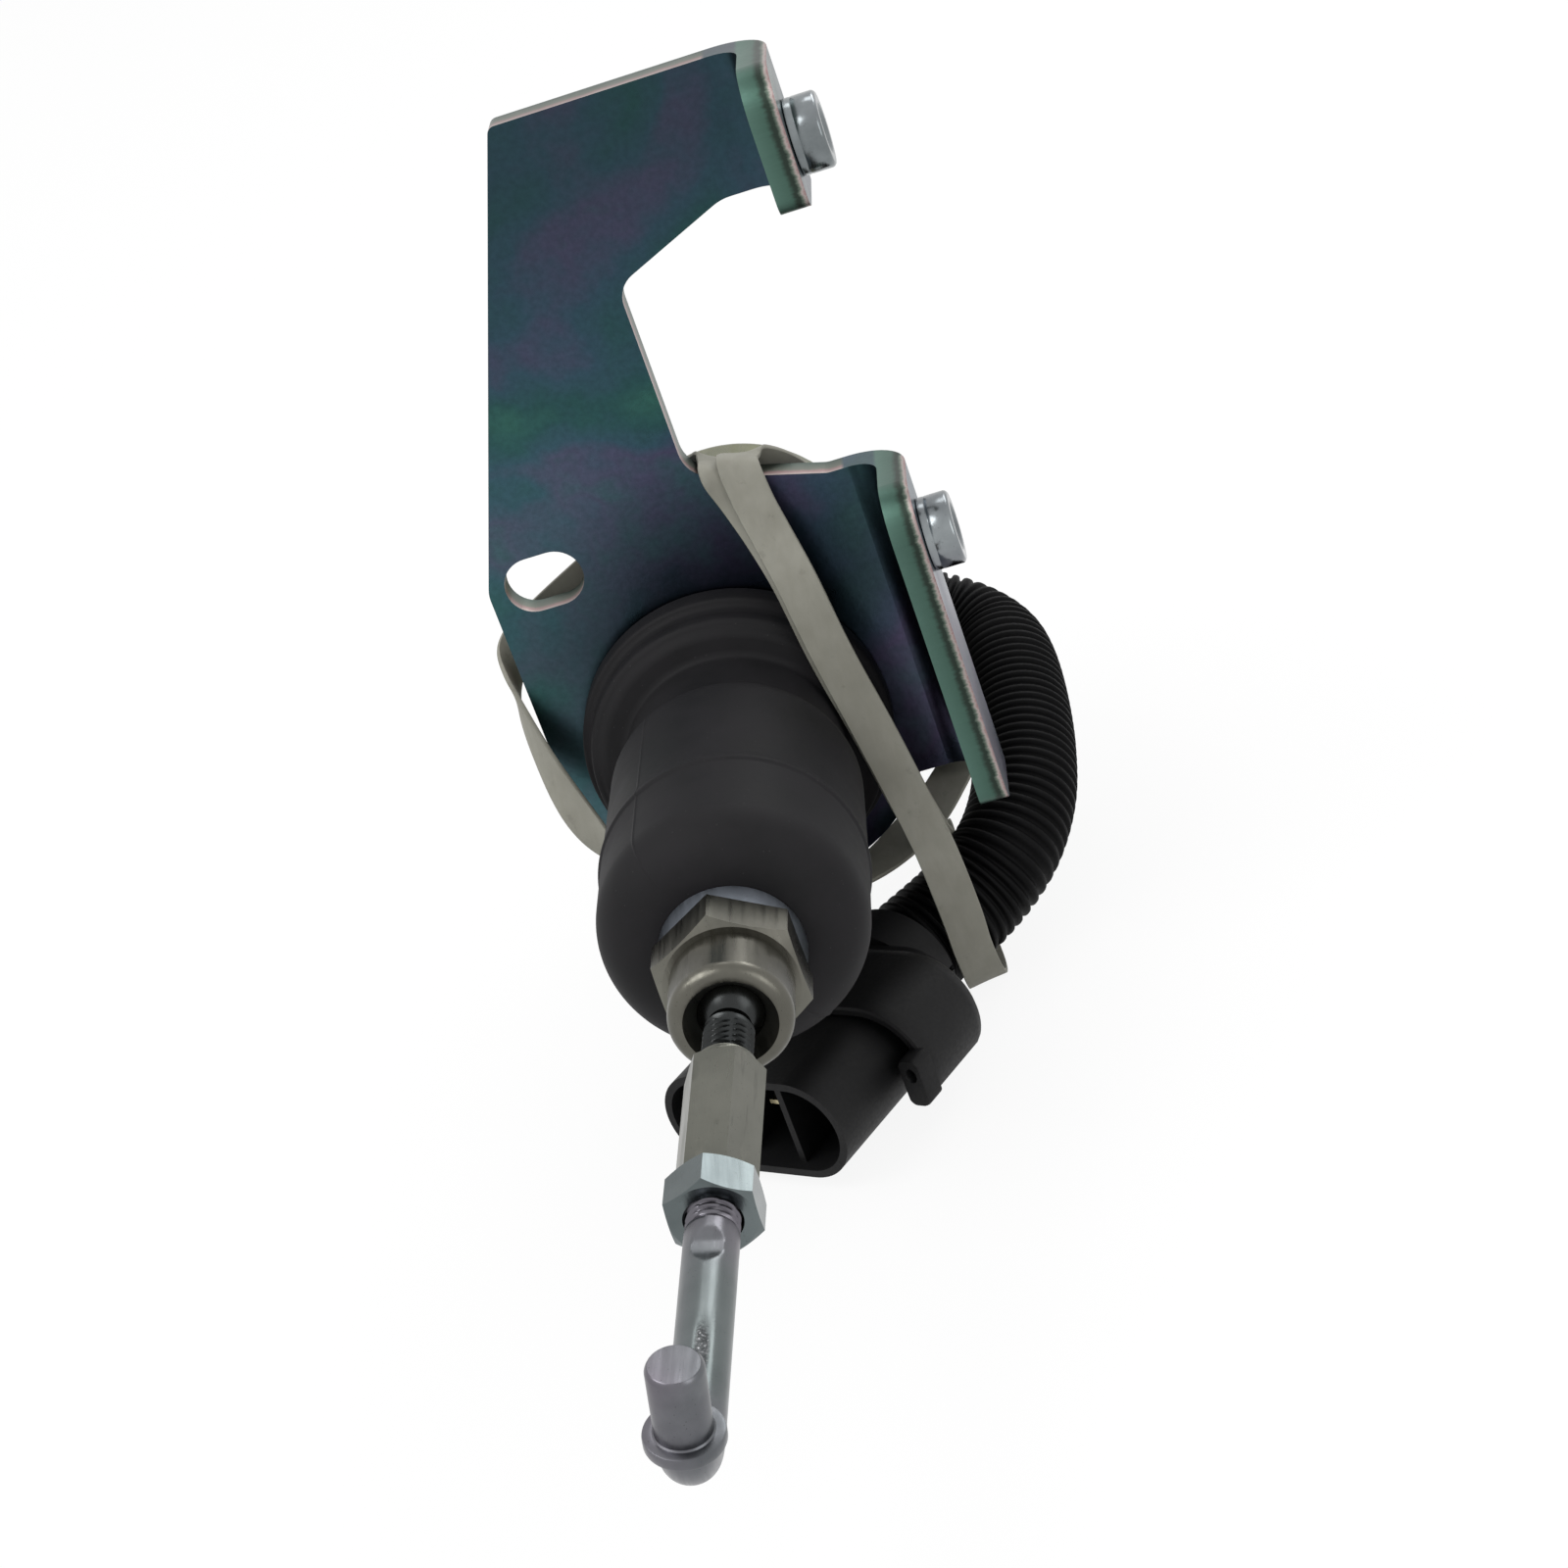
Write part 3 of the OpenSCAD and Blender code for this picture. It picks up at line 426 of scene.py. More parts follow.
def hook_wear(m, spot, base, height):
    """Pink and green drift, and a dark pitted scar on the rod's upper side."""
    green = m.noise(34.0, 2.0, 0.5, m.mapped((1, 1, 0.5), location=(0.2, 0.1, 0.3), vector=spot))
    base = m.mix(m.span(green, 0.5, 0.64, 0.0, 0.5), base, srgb(100, 110, 107))
    x, y, z = (m.part(spot, a) for a in "XYZ")
    half_w, half_len = 0.0011, 0.0072
    dx = m.math("DIVIDE", m.plus(x, -SCAR_X * MM), half_w)
    dz = m.math("DIVIDE", m.plus(z, -SCAR_Z * MM), half_len)
    spread = m.plus(m.times(dx, dx), m.times(dz, dz))
    upper = m.span(y, 0.0020, 0.0030, 0.0, 1.0)
    ragged = m.plus(spread, m.times(m.noise(700.0, 4.0, 0.7), 1.4))
    scar = m.times(m.span(ragged, 1.15, 1.75, 1.0, 0.0), upper)
    pits = m.noise(2600.0, 3.0, 0.7)
    dark = m.ramp(
        pits, [(0.42, srgb(34, 34, 36)), (0.62, srgb(92, 92, 94)), (0.7, srgb(190, 190, 192))]
    )
    base = m.mix(m.times(scar, 0.8), base, dark)
    deep = m.times(scar, m.times(pits, 3.0))
    return base, m.math("SUBTRACT", height, deep)


def bracket_material():
    """Dark zinc-nickel plate, teal to purple, with sheared edges."""
    m = Mat("bracket_finish", metallic=1.0)
    nx, ny = (m.normal(a) for a in "XY")
    px, py, pz = (m.axis(a) for a in "XYZ")
    slow = m.noise(16.0, 3.0, 0.55, distortion=1.2)
    mid = m.noise(55.0, 4.0, 0.6, m.mapped(location=(0.3, 0.1, 0.2)))
    fine = m.noise(900.0, 5.0, 0.65)
    hue = m.plus(m.times(slow, 0.7), m.times(mid, 0.3))
    face = m.ramp(
        hue,
        [
            (0.30, srgb(58, 104, 92)),
            (0.42, srgb(48, 82, 84)),
            (0.50, srgb(58, 82, 98)),
            (0.57, srgb(78, 76, 102)),
            (0.64, srgb(58, 92, 96)),
            (0.74, srgb(98, 132, 112)),
        ],
    )
    # tints by place, in metres
    low_left = m.times(
        m.span(pz, -0.02, 0.05, 1.0, 0.0), m.span(px, -0.06, -0.035, 1.0, 0.0)
    )
    face = m.mix(m.times(low_left, 0.45), face, srgb(66, 112, 104))
    by_bend = m.times(
        m.span(pz, -0.03, 0.03, 1.0, 0.0), m.span(px, -0.03, -0.01, 0.0, 1.0)
    )
    face = m.mix(m.times(by_bend, 0.4), face, srgb(88, 74, 98))
    # painted shade on the plate above the boot, by the distance from the solenoid's axis
    dx, dz = m.plus(px, AXIS[0] * MM), m.plus(pz, AXIS[2] * MM)
    reach = m.math("SQRT", m.plus(m.times(dx, dx), m.times(dz, dz)))
    above = m.span(dz, 0.0, 0.022, 0.0, 1.0)
    shade = m.times(m.span(reach, 0.028, 0.050, 0.6, 0.0), above)
    face = m.mix(shade, face, srgb(24, 26, 34))
    face = m.mix(m.span(pz, 0.030, 0.075, 0.0, 0.5), face, srgb(30, 44, 42))
    face = m.mix(m.span(fine, 0.35, 0.65, 0.0, 0.22), face, srgb(28, 38, 40))
    torn = m.noise(1.0, 6.0, 0.7, m.mapped((300, 300, 1400)))
    ragged = m.times(m.span(torn, 0.3, 0.7, -1.0, 1.0), 0.0003)
    # dark is a painted reflection, used in the ear's burnished cut face
    pink, pale, dark = srgb(150, 124, 124), srgb(168, 158, 154), srgb(50, 60, 54)
    # sheared edges: faces that look sideways within the sheet's thickness
    sheet, plate_front = 0.005, 0.012

    def sideways(n):
        return m.span(m.math("ABSOLUTE", n), 0.25, 0.4, 1.0, 0.0)

    in_plate = m.times(
        m.span(px, -0.0112, -0.0106, 1.0, 0.0), m.span(py, 0.0116, 0.0119, 0.0, 1.0)
    )
    plate_cut = m.times(in_plate, sideways(ny))
    plate_depth = m.span(m.plus(py, ragged), plate_front, plate_front + sheet)
    plate_edge = m.ramp(
        plate_depth,
        [(0.0, pale), (0.2, pink), (0.42, srgb(104, 108, 100)), (1.0, srgb(70, 84, 78))],
    )
    ear_cut = m.times(m.span(px, -0.0056, -0.0050, 0.0, 1.0), sideways(nx))
    ear_depth = m.span(m.plus(px, ragged), -sheet, 0.0)
    # the dark stops in the ear's cut face are a painted reflection of dark surroundings in its
    # burnished zone
    ear_edge = m.ramp(
        ear_depth,
        [
            (0.0, srgb(84, 112, 102)), (0.5, srgb(72, 98, 88)), (0.66, dark), (0.76, dark),
            (0.84, srgb(96, 108, 98)), (0.92, pale), (1.0, pink),
        ],
    )
    colour = m.mix(plate_cut, face, plate_edge)
    m.colour(m.mix(ear_cut, colour, ear_edge))
    cut = m.math("MAXIMUM", plate_cut, ear_cut)
    m.rough(m.plus(m.span(mid, 0.3, 0.7, 0.26, 0.38), m.times(cut, 0.08)))
    m.bump(m.plus(fine, m.times(torn, m.times(cut, 1.4))), 0.14, 0.00015)
    return m.m


def rubber_material(name, low, high):
    m = Mat(name, roughness=0.62)
    cloud = m.noise(70.0, 4.0, 0.6)
    fine = m.noise(2200.0, 4.0, 0.6)
    base = m.ramp(cloud, [(0.3, low), (0.7, high)])
    dust = m.voronoi(700.0)
    base = m.mix(m.span(dust, 0.03, 0.07, 0.3, 0.0), base, srgb(96, 94, 94))
    m.colour(base)
    m.bsdf.inputs["Specular IOR Level"].default_value = 0.12
    m.rough(m.span(cloud, 0.3, 0.7, 0.54, 0.68))
    m.bump(fine, 0.10, 0.0001)
    return m.m


def plastic_material(name, low, high, rough=(0.4, 0.55), shine=0.4):
    m = Mat(name, roughness=0.4)
    cloud = m.noise(90.0, 3.0, 0.5)
    fine = m.noise(1500.0, 4.0, 0.6)
    m.colour(m.ramp(cloud, [(0.3, low), (0.7, high)]))
    m.bsdf.inputs["Specular IOR Level"].default_value = shine
    m.rough(m.span(fine, 0.3, 0.7, *rough))
    m.bump(fine, 0.12, 0.00008)
    return m.m


def band_material():
    """Greige rubber band: chalky faces, a few fibres and some grime."""
    m = Mat("band_rubber", roughness=0.66)
    cloud = m.noise(60.0, 4.0, 0.6)
    fibre = m.noise(1.0, 4.0, 0.6, m.mapped((600, 600, 120)))
    base = m.ramp(cloud, [(0.3, srgb(120, 119, 109)), (0.7, srgb(138, 137, 127))])
    base = m.mix(m.span(fibre, 0.4, 0.75, 0.0, 0.25), base, srgb(104, 100, 88))
    grime = m.noise(300.0, 4.0, 0.7, m.mapped(location=(0.5, 0.2, 0.1)))
    base = m.mix(m.span(grime, 0.62, 0.75, 0.0, 0.4), base, srgb(78, 74, 66))
    m.colour(base)
    m.bump(m.plus(fibre, grime), 0.15, 0.00015)
    return m.m


BLACK_RUBBER = (srgb(23, 23, 24), srgb(32, 31, 33))
MATS = {
    "bracket": bracket_material(),
    "nut": zinc(
        "nut_finish", srgb(92, 98, 100), srgb(150, 156, 158), srgb(118, 116, 124),
        (0.14, 0.26), bump=0.05,
    ),
    "can": zinc("can_finish", srgb(92, 94, 74), srgb(128, 128, 100), srgb(110, 116, 104)),
    "iron": zinc("pole_finish", srgb(86, 88, 90), srgb(120, 122, 124), srgb(100, 98, 96)),
    "brass": zinc("guide_finish", srgb(150, 122, 66), srgb(196, 164, 98), srgb(160, 138, 90)),
    "spring": zinc(
        "spring_finish", srgb(110, 112, 116), srgb(160, 162, 166), srgb(120, 118, 116),
    ),
    "steel": zinc(
        "plunger_finish", srgb(112, 114, 116), srgb(166, 168, 170), srgb(130, 128, 126),
    ),
    "washer": zinc(
        "washer_finish", srgb(96, 102, 108), srgb(130, 136, 142), srgb(104, 108, 118), (0.34, 0.5),
    ),
    "swivel": zinc(
        "swivel_finish", srgb(80, 82, 76), srgb(120, 120, 112), srgb(100, 97, 90), (0.24, 0.4),
    ),
    "stud": zinc(
        "stud_finish", srgb(40, 46, 48), srgb(76, 84, 88), srgb(56, 54, 52), (0.2, 0.34),
    ),
    "coupling": zinc(
        "coupling_finish", srgb(84, 86, 80), srgb(122, 122, 114), srgb(104, 104, 97),
        (0.26, 0.42), frame_of=on_link_matrix(), extra=coupling_wear,
    ),
    "jam": zinc(
        "jam_finish", srgb(80, 86, 86), srgb(118, 126, 126), srgb(98, 106, 108), (0.16, 0.3),
    ),
    "hook": zinc(
        "hook_finish", srgb(80, 85, 87), srgb(120, 123, 126), srgb(110, 102, 112),
        (0.24, 0.4), frame_of=on_link_matrix(), extra=hook_wear,
    ),
    "boot": rubber_material("boot_finish", *BLACK_RUBBER),
    "gland": rubber_material("gland_finish", *BLACK_RUBBER),
    "loom": plastic_material(
        "loom_finish", srgb(5, 5, 6), srgb(9, 9, 10), (0.52, 0.64), shine=0.08,
    ),
    "connector": plastic_material(
        "connector_finish", srgb(11, 11, 12), srgb(18, 18, 19), (0.5, 0.62), shine=0.2,
    ),
    "seal": plastic_material("seal_finish", srgb(150, 70, 34), srgb(170, 84, 44), (0.5, 0.6)),
    "bobbin": plastic_material(
        "bobbin_finish", srgb(196, 190, 172), srgb(210, 204, 188), (0.45, 0.6),
    ),
    "copper": zinc(
        "winding_finish", srgb(140, 78, 46), srgb(184, 108, 66), srgb(150, 90, 60), (0.3, 0.45),
    ),
    "contact": zinc(
        "contact_finish", srgb(176, 164, 130), srgb(214, 204, 170), srgb(190, 186, 170),
        (0.2, 0.32),
    ),
    "red": plastic_material("wire_red_finish", srgb(128, 22, 20), srgb(150, 30, 26)),
    "white": plastic_material("wire_white_finish", srgb(190, 190, 184), srgb(208, 208, 202)),
    "black": plastic_material("wire_black_finish", srgb(24, 24, 25), srgb(34, 34, 35)),
    "band": band_material(),
}

NODE_MATS = {
    "bracket": "bracket",
    "upper_clinch_nut": "nut",
    "lower_clinch_nut": "nut",
    "solenoid_can": "can",
    "front_pole_plate": "iron",
    "lock_ring": "iron",
    "rear_pole": "iron",
    "coil_bobbin": "bobbin",
    "pull_coil": "copper",
    "hold_coil": "copper",
    "guide_tube": "brass",
    "return_spring": "spring",
    "plunger": "steel",
    "boot": "boot",
    "end_washer": "washer",
    "swivel_nut": "swivel",
    "ball_stud": "stud",
    "coupling_nut": "coupling",
    "jam_nut": "jam",
    "hook_rod": "hook",
    "cable_gland": "gland",
    "wire_loom": "loom",
    "pull_wire": "red",
    "hold_wire": "white",
    "ground_wire": "black",
    "connector_shell": "connector",
    "connector_lock": "connector",
    "wire_seal": "seal",
    "left_contact": "contact",
    "middle_contact": "contact",
    "right_contact": "contact",
    "rubber_band": "band",
}


def dress(ob, key):
    """Give a piece one of the materials, and no other."""
    ob.data.materials.clear()
    ob.data.materials.append(MATS[key])


def place(ob, key, body, slot, *replaced):
    """Finish a new piece, fix it to its body, and hide the nodes it stands for."""
    dress(ob, key)
    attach(ob, body)
    if replaced:
        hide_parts(*replaced)


def soften(ob, width):
    """Round the sharp edges a little, as a modifier over the unchanged mesh."""
    b = ob.modifiers.new("edges", "BEVEL")
    b.width = width * MM
    b.segments = 2
    b.limit_method = "ANGLE"
    b.angle_limit = math.radians(30)
    b.use_clamp_overlap = True
    w = ob.modifiers.new("shade", "WEIGHTED_NORMAL")
    w.keep_sharp = True


for name, key in NODE_MATS.items():
    dress(nodes[name], key)

for name, width in (
    ("bracket", 0.5),
    ("end_washer", 0.25),
    ("swivel_nut", 0.25),
    ("coupling_nut", 0.15),
    ("jam_nut", 0.2),
    ("connector_shell", 0.5),
):
    soften(nodes[name], width)


# plug's lock sleeve, with its latch tab
def arc_points(cx, radius, start, stop, n):
    a = np.radians(np.linspace(start, stop, n))
    return np.stack([cx + radius * np.cos(a), radius * np.sin(a)], axis=1)


def sleeve_outline(half_gap, overhang, radius, low):
    """Half of an oval, from low on the left over the top to low on the right."""
    n = 24
    left = arc_points(half_gap, radius, low, 90, n)
    right = arc_points(-half_gap - overhang, radius, 90, 180 - low, n)
    return np.concatenate([left, right])


def build_lock_sleeve():
    low, overhang, centre = -28, 3.2, 9.0
    outer_r, bore_r, shell_r = 11.7, 10.0, 9.62
    hood_to, web_from = 22.0, 22.4
    heights_and_insets = (
        (19.0, 0.7), (19.3, 0.25), (20.0, 0.0),
        (34.5, 0.0), (36.4, 0.5), (37.5, 1.5), (37.9, 2.1),
    )
    sections = []
    for z, inset in heights_and_insets:
        outer = sleeve_outline(centre, overhang, outer_r - inset, low)
        if z < hood_to:
            inner = sleeve_outline(centre, overhang, bore_r, low)
        else:
            inner = sleeve_outline(centre, 0.0, shell_r, low)
        sections.append((outer, inner, z))
    web = sleeve_outline(centre, 0.0, shell_r, low)
    gap = sleeve_outline(centre, overhang, bore_r, low)
    full = sleeve_outline(centre, overhang, outer_r, low)
    # the step inside, where the open hood meets the sleeve that fits the shell
    sections[3:3] = [(full, gap, hood_to), (full, web, web_from)]
    verts = []
    for outer, inner, z in sections:
        loop = np.concatenate([outer, inner[::-1]])
        verts.append(np.column_stack([loop, np.full(len(loop), z)]))
    n = len(sections[0][0])
    faces = grid_faces(len(sections), 2 * n)
    for ring in (0, (len(sections) - 1) * 2 * n):
        for i in range(n - 1):
            quad = (ring + i, ring + i + 1, ring + 2 * n - 2 - i, ring + 2 * n - 1 - i)
            faces.append(quad)
    ob = make_mesh("lock_sleeve", np.concatenate(verts) * MM, faces)
    ob.data.transform(on_shell_matrix())
    tidy_normals(ob, 32.0)
    return ob


def build_latch_tab():
    """A rounded tab with a round hole, hanging at the sleeve's right front."""
    n = 48
    ang = np.linspace(0, 2 * math.pi, n, endpoint=False)
    half_w, half_h, r = 2.1, 4.6, 1.5
    tab_x, tab_y, hole_mid = -22.6, -0.6, 1.6
    front, back = 15.6, 19.6
    x = np.clip(half_w * 3 * np.cos(ang), r - half_w, half_w - r) + r * np.cos(ang)
    y = np.clip(half_h * 3 * np.sin(ang), r - half_h, half_h - r) + r * np.sin(ang)
    hole_x, hole_y = 0.9 * np.cos(ang), hole_mid + 1.2 * np.sin(ang)
    rings = (
        (x * 0.93, y * 0.96, front), (x, y, 16.1), (x, y, back),
        (hole_x, hole_y, back), (hole_x, hole_y, 16.0),
        (hole_x * 1.25, hole_mid + (hole_y - hole_mid) * 1.2, front),
    )
    verts = [np.stack([px + tab_x, py + tab_y, np.full(n, z)], axis=1) for px, py, z in rings]
    faces = grid_faces(len(rings), n, close_rings=True)
    ob = make_mesh("latch_tab", np.concatenate(verts) * MM, faces)
    ob.data.transform(on_shell_matrix())
    tidy_normals(ob, 32.0)
    return ob


lock_sleeve = build_lock_sleeve()
place(lock_sleeve, "connector", ROOT, "connector_plastic", "connector_lock")
latch_tab = build_latch_tab()
place(latch_tab, "connector", ROOT, "connector_plastic")


# wire loom
LOOM_R = 9.6
LOOM_BORE_R = 8.25
RIB_PITCH = 2.0
RIB_DEPTH = 0.95
RIB_STEPS = 10
GLAND = np.array([0.0, 60.0, 0.0])
GLAND_ANGLE = math.radians(-28)
GLAND_DIR = np.array([math.cos(GLAND_ANGLE), 0.0, math.sin(GLAND_ANGLE)])
# straight out of the gland, round beside the flange, straight into the plug
loom_route = [
    GLAND + GLAND_DIR * 29.1,
    GLAND + GLAND_DIR * 31.1,
    GLAND + GLAND_DIR * 33.1,
    GLAND + GLAND_DIR * 35.0,
    [37.5, 58, -19.9],
    [42.4, 52.5, -22.5],
    [44.4, 44.5, -23.9],
    [45, 33, -26.5],
    [44.5, 20, -29.7],
    [42.5, 8, -33.2],
    [37.5, -2, -37],
    [29, -9, -40.8],
    MOUTH_AT + SHELL_DIR * 50.5,
    MOUTH_AT + SHELL_DIR * 47.0,
    MOUTH_AT + SHELL_DIR * 44.5,
    MOUTH_AT + SHELL_DIR * 42.1,
]
loom_s, loom_p = resample(curve_points(loom_route, 12), RIB_PITCH / RIB_STEPS)


def build_loom():
    """A ribbed conduit, hollow for its wires, along the loom's route."""
    sides = 48
    _, side, up = path_frames(loom_p)
    ang = np.linspace(0, 2 * math.pi, sides, endpoint=False)
    phase = (loom_s / RIB_PITCH) % 1.0
    crest = 1.0 / (1.0 + np.exp(-(np.cos(2 * math.pi * phase) + 0.15) * 4.5))
    radius = LOOM_R - RIB_DEPTH * (1.0 - crest)

    def rings(rows, r):
        across = side[rows, None, :] * (r * np.cos(ang))[:, :, None]
        over = up[rows, None, :] * (r * np.sin(ang))[:, :, None]
        return loom_p[rows, None, :] + across + over

    outer = rings(slice(None), radius[:, None])
    every_rib = slice(None, None, RIB_STEPS)
    inner = rings(every_rib, np.full((len(loom_p[every_rib]), 1), LOOM_BORE_R))[::-1]
    verts = row(np.concatenate([outer.reshape(-1, 3), inner.reshape(-1, 3)]))
    faces = grid_faces(len(outer) + len(inner), sides, close_rings=True)
    ob = make_mesh("loom_conduit", verts, faces)
    tidy_normals(ob, 60.0)
    return ob


loom = build_loom()
place(loom, "loom", ROOT, "loom_plastic", "wire_loom")


# clinch nuts, turned, with their threads
def build_clinch_nut(name, height):
    shank_r, head_r, bore_r, groove_r, shank, head = 5.2, 6.3, 3.4, 4.0, 2.2, 5.4
    profile = [
        (shank_r, -shank), (shank_r, -0.15), (shank_r + 0.1, 0.0), (head_r - 0.2, 0.0),
        (head_r, 0.2), (head_r, 1.1), (head_r - 0.04, 1.2), (head_r - 0.04, 1.5), (head_r, 1.6),
        (head_r, head - 0.6), (head_r - 0.12, head - 0.3), (head_r - 0.4, head - 0.06),
        (head_r - 0.55, head), (groove_r + 0.45, head), (groove_r + 0.2, head - 0.05),
        (bore_r, head - 0.7),
    ]
    matrix = Matrix.Translation((0, 0, height)) @ turn(90, "Y")
    return turned(name, profile, matrix, 96, (groove_r, bore_r, head - 0.75, -shank), closed=True)


for name, node, height in (
    ("upper_nut", "upper_clinch_nut", 0.0715),
    ("lower_nut", "lower_clinch_nut", 0.0),
):
    place(build_clinch_nut(name, height), "nut", ROOT, "nut_zinc", node)


# ball stud: ball, neck and screw thread
def build_stud():
    ball_r, neck_r, root, crest = 6.0, 3.35, 3.35, 3.93
    profile = [
        (ball_r * math.sin(math.radians(a)), -ball_r * math.cos(math.radians(a)))
        for a in np.linspace(3, 146, 40)
    ]
    profile += [(neck_r, 5.3), (neck_r, 6.6)]
    return turned("stud", profile, on_link_matrix(), 96, (root, crest, 6.4, 28.0))


place(build_stud(), "stud", "ball_stud", "stud_steel", "ball_stud")


# hook rod: thread, press mark, bend, collar and pin, swept along its centre line
def build_rod():
    reach, bend, rod_r, root = 97.4, 8.0, 4.0, 3.4
    collar_r, collar_from, collar_to, pin_r, pin_top = 5.5, 7.2, 9.2, 3.9, 20.7
    thread_from, thread_to, crest = 30.0, 51.5, 3.95
    press_at, press_half, press_depth = 57.0, 2.6, 0.75
    scar_half, scar_depth, scar_w, bend_flat = 6.0, 0.3, 1.0, 0.25
    ahead, up = np.array([0, 1.0]), np.array([1.0, 0.0])
    stations = []
    for z in np.arange(thread_from, thread_to, PITCH / THREAD_STEPS):
        stations.append((np.array([0, z]), ahead, crest, "thread"))
    for z in np.arange(thread_to, reach - bend, 0.5):
        stations.append((np.array([0, z]), ahead, rod_r, "rod"))
    for a in np.radians(np.arange(0, 90, 2.5)):
        at = [bend - bend * math.cos(a), reach - bend + bend * math.sin(a)]
        stations.append((np.array(at), np.array([math.sin(a), math.cos(a)]), rod_r, "bend"))
    leg = [
        (bend, pin_r), (collar_from - 0.9, pin_r), (collar_from - 0.35, pin_r + 0.1),
        (collar_from - 0.02, pin_r + 0.6), (collar_from, collar_r - 0.35),
        (collar_from + 0.12, collar_r - 0.1), (collar_from + 0.4, collar_r),
        (collar_to - 0.4, collar_r), (collar_to - 0.12, collar_r - 0.1),
        (collar_to, collar_r - 0.35), (collar_to + 0.02, pin_r + 0.25),
        (collar_to + 0.25, pin_r + 0.03), (collar_to + 0.6, pin_r),
        (pin_top - 0.9, pin_r), (pin_top - 0.6, pin_r - 0.08), (pin_top - 0.1, pin_r - 0.36),
        (pin_top, pin_r - 0.5),
    ]
    for y, r in leg:
        if y >= bend or r > pin_r:
            stations.append((np.array([y, reach]), up, r, "leg"))
    sides = 72
    ang = np.linspace(0, 2 * math.pi, sides, endpoint=False)
    verts = []
    for at, along, r, kind in stations:
        rr = np.full(sides, r)
        if kind == "thread":
            fade = min(1.0, (thread_to - at[1]) / PITCH)
            rr = root + (r - root) * (1 - fade * (1 - thread_wave(at[1], ang)))
        side_x = rr * np.cos(ang)
        over = rr * np.sin(ang)
        if kind == "rod":
            press = math.exp(-(((at[1] - press_at) / press_half) ** 4))
            over = np.minimum(over, rod_r - press_depth * press)
            scar = math.exp(-(((at[1] - SCAR_Z) / scar_half) ** 4))
            dent = scar_depth * scar * np.exp(-(((side_x - SCAR_X) / scar_w) ** 2)) * (over > 0)
            over = over - dent
        if kind == "bend":
            over = np.minimum(over, rod_r - bend_flat * along[0] * along[1] * 2)
        normal = np.array([along[1], -along[0]])
        y = at[0] + over * normal[0]
        z = at[1] + over * normal[1]
        verts.append(np.stack([side_x, y, z], axis=1))
    faces = grid_faces(len(verts), sides) + end_caps(len(verts), sides)
    ob = make_mesh("bent_rod", np.concatenate(verts) * MM, faces)
    ob.data.transform(on_link_matrix())
    tidy_normals(ob, 32.0)
    return ob


place(build_rod(), "hook", "link", "hook_zinc", "hook_rod")


# boot: its front face and foot out from the plate, how far the plunger squeezes it
# (the return spring shortens by as much), and its parting seam's place round the axis
BOOT_FRONT, BOOT_SQUEEZED, BOOT_FOOT = 79.0, 25.0, 0.3
SEAM_DEG = 118.0


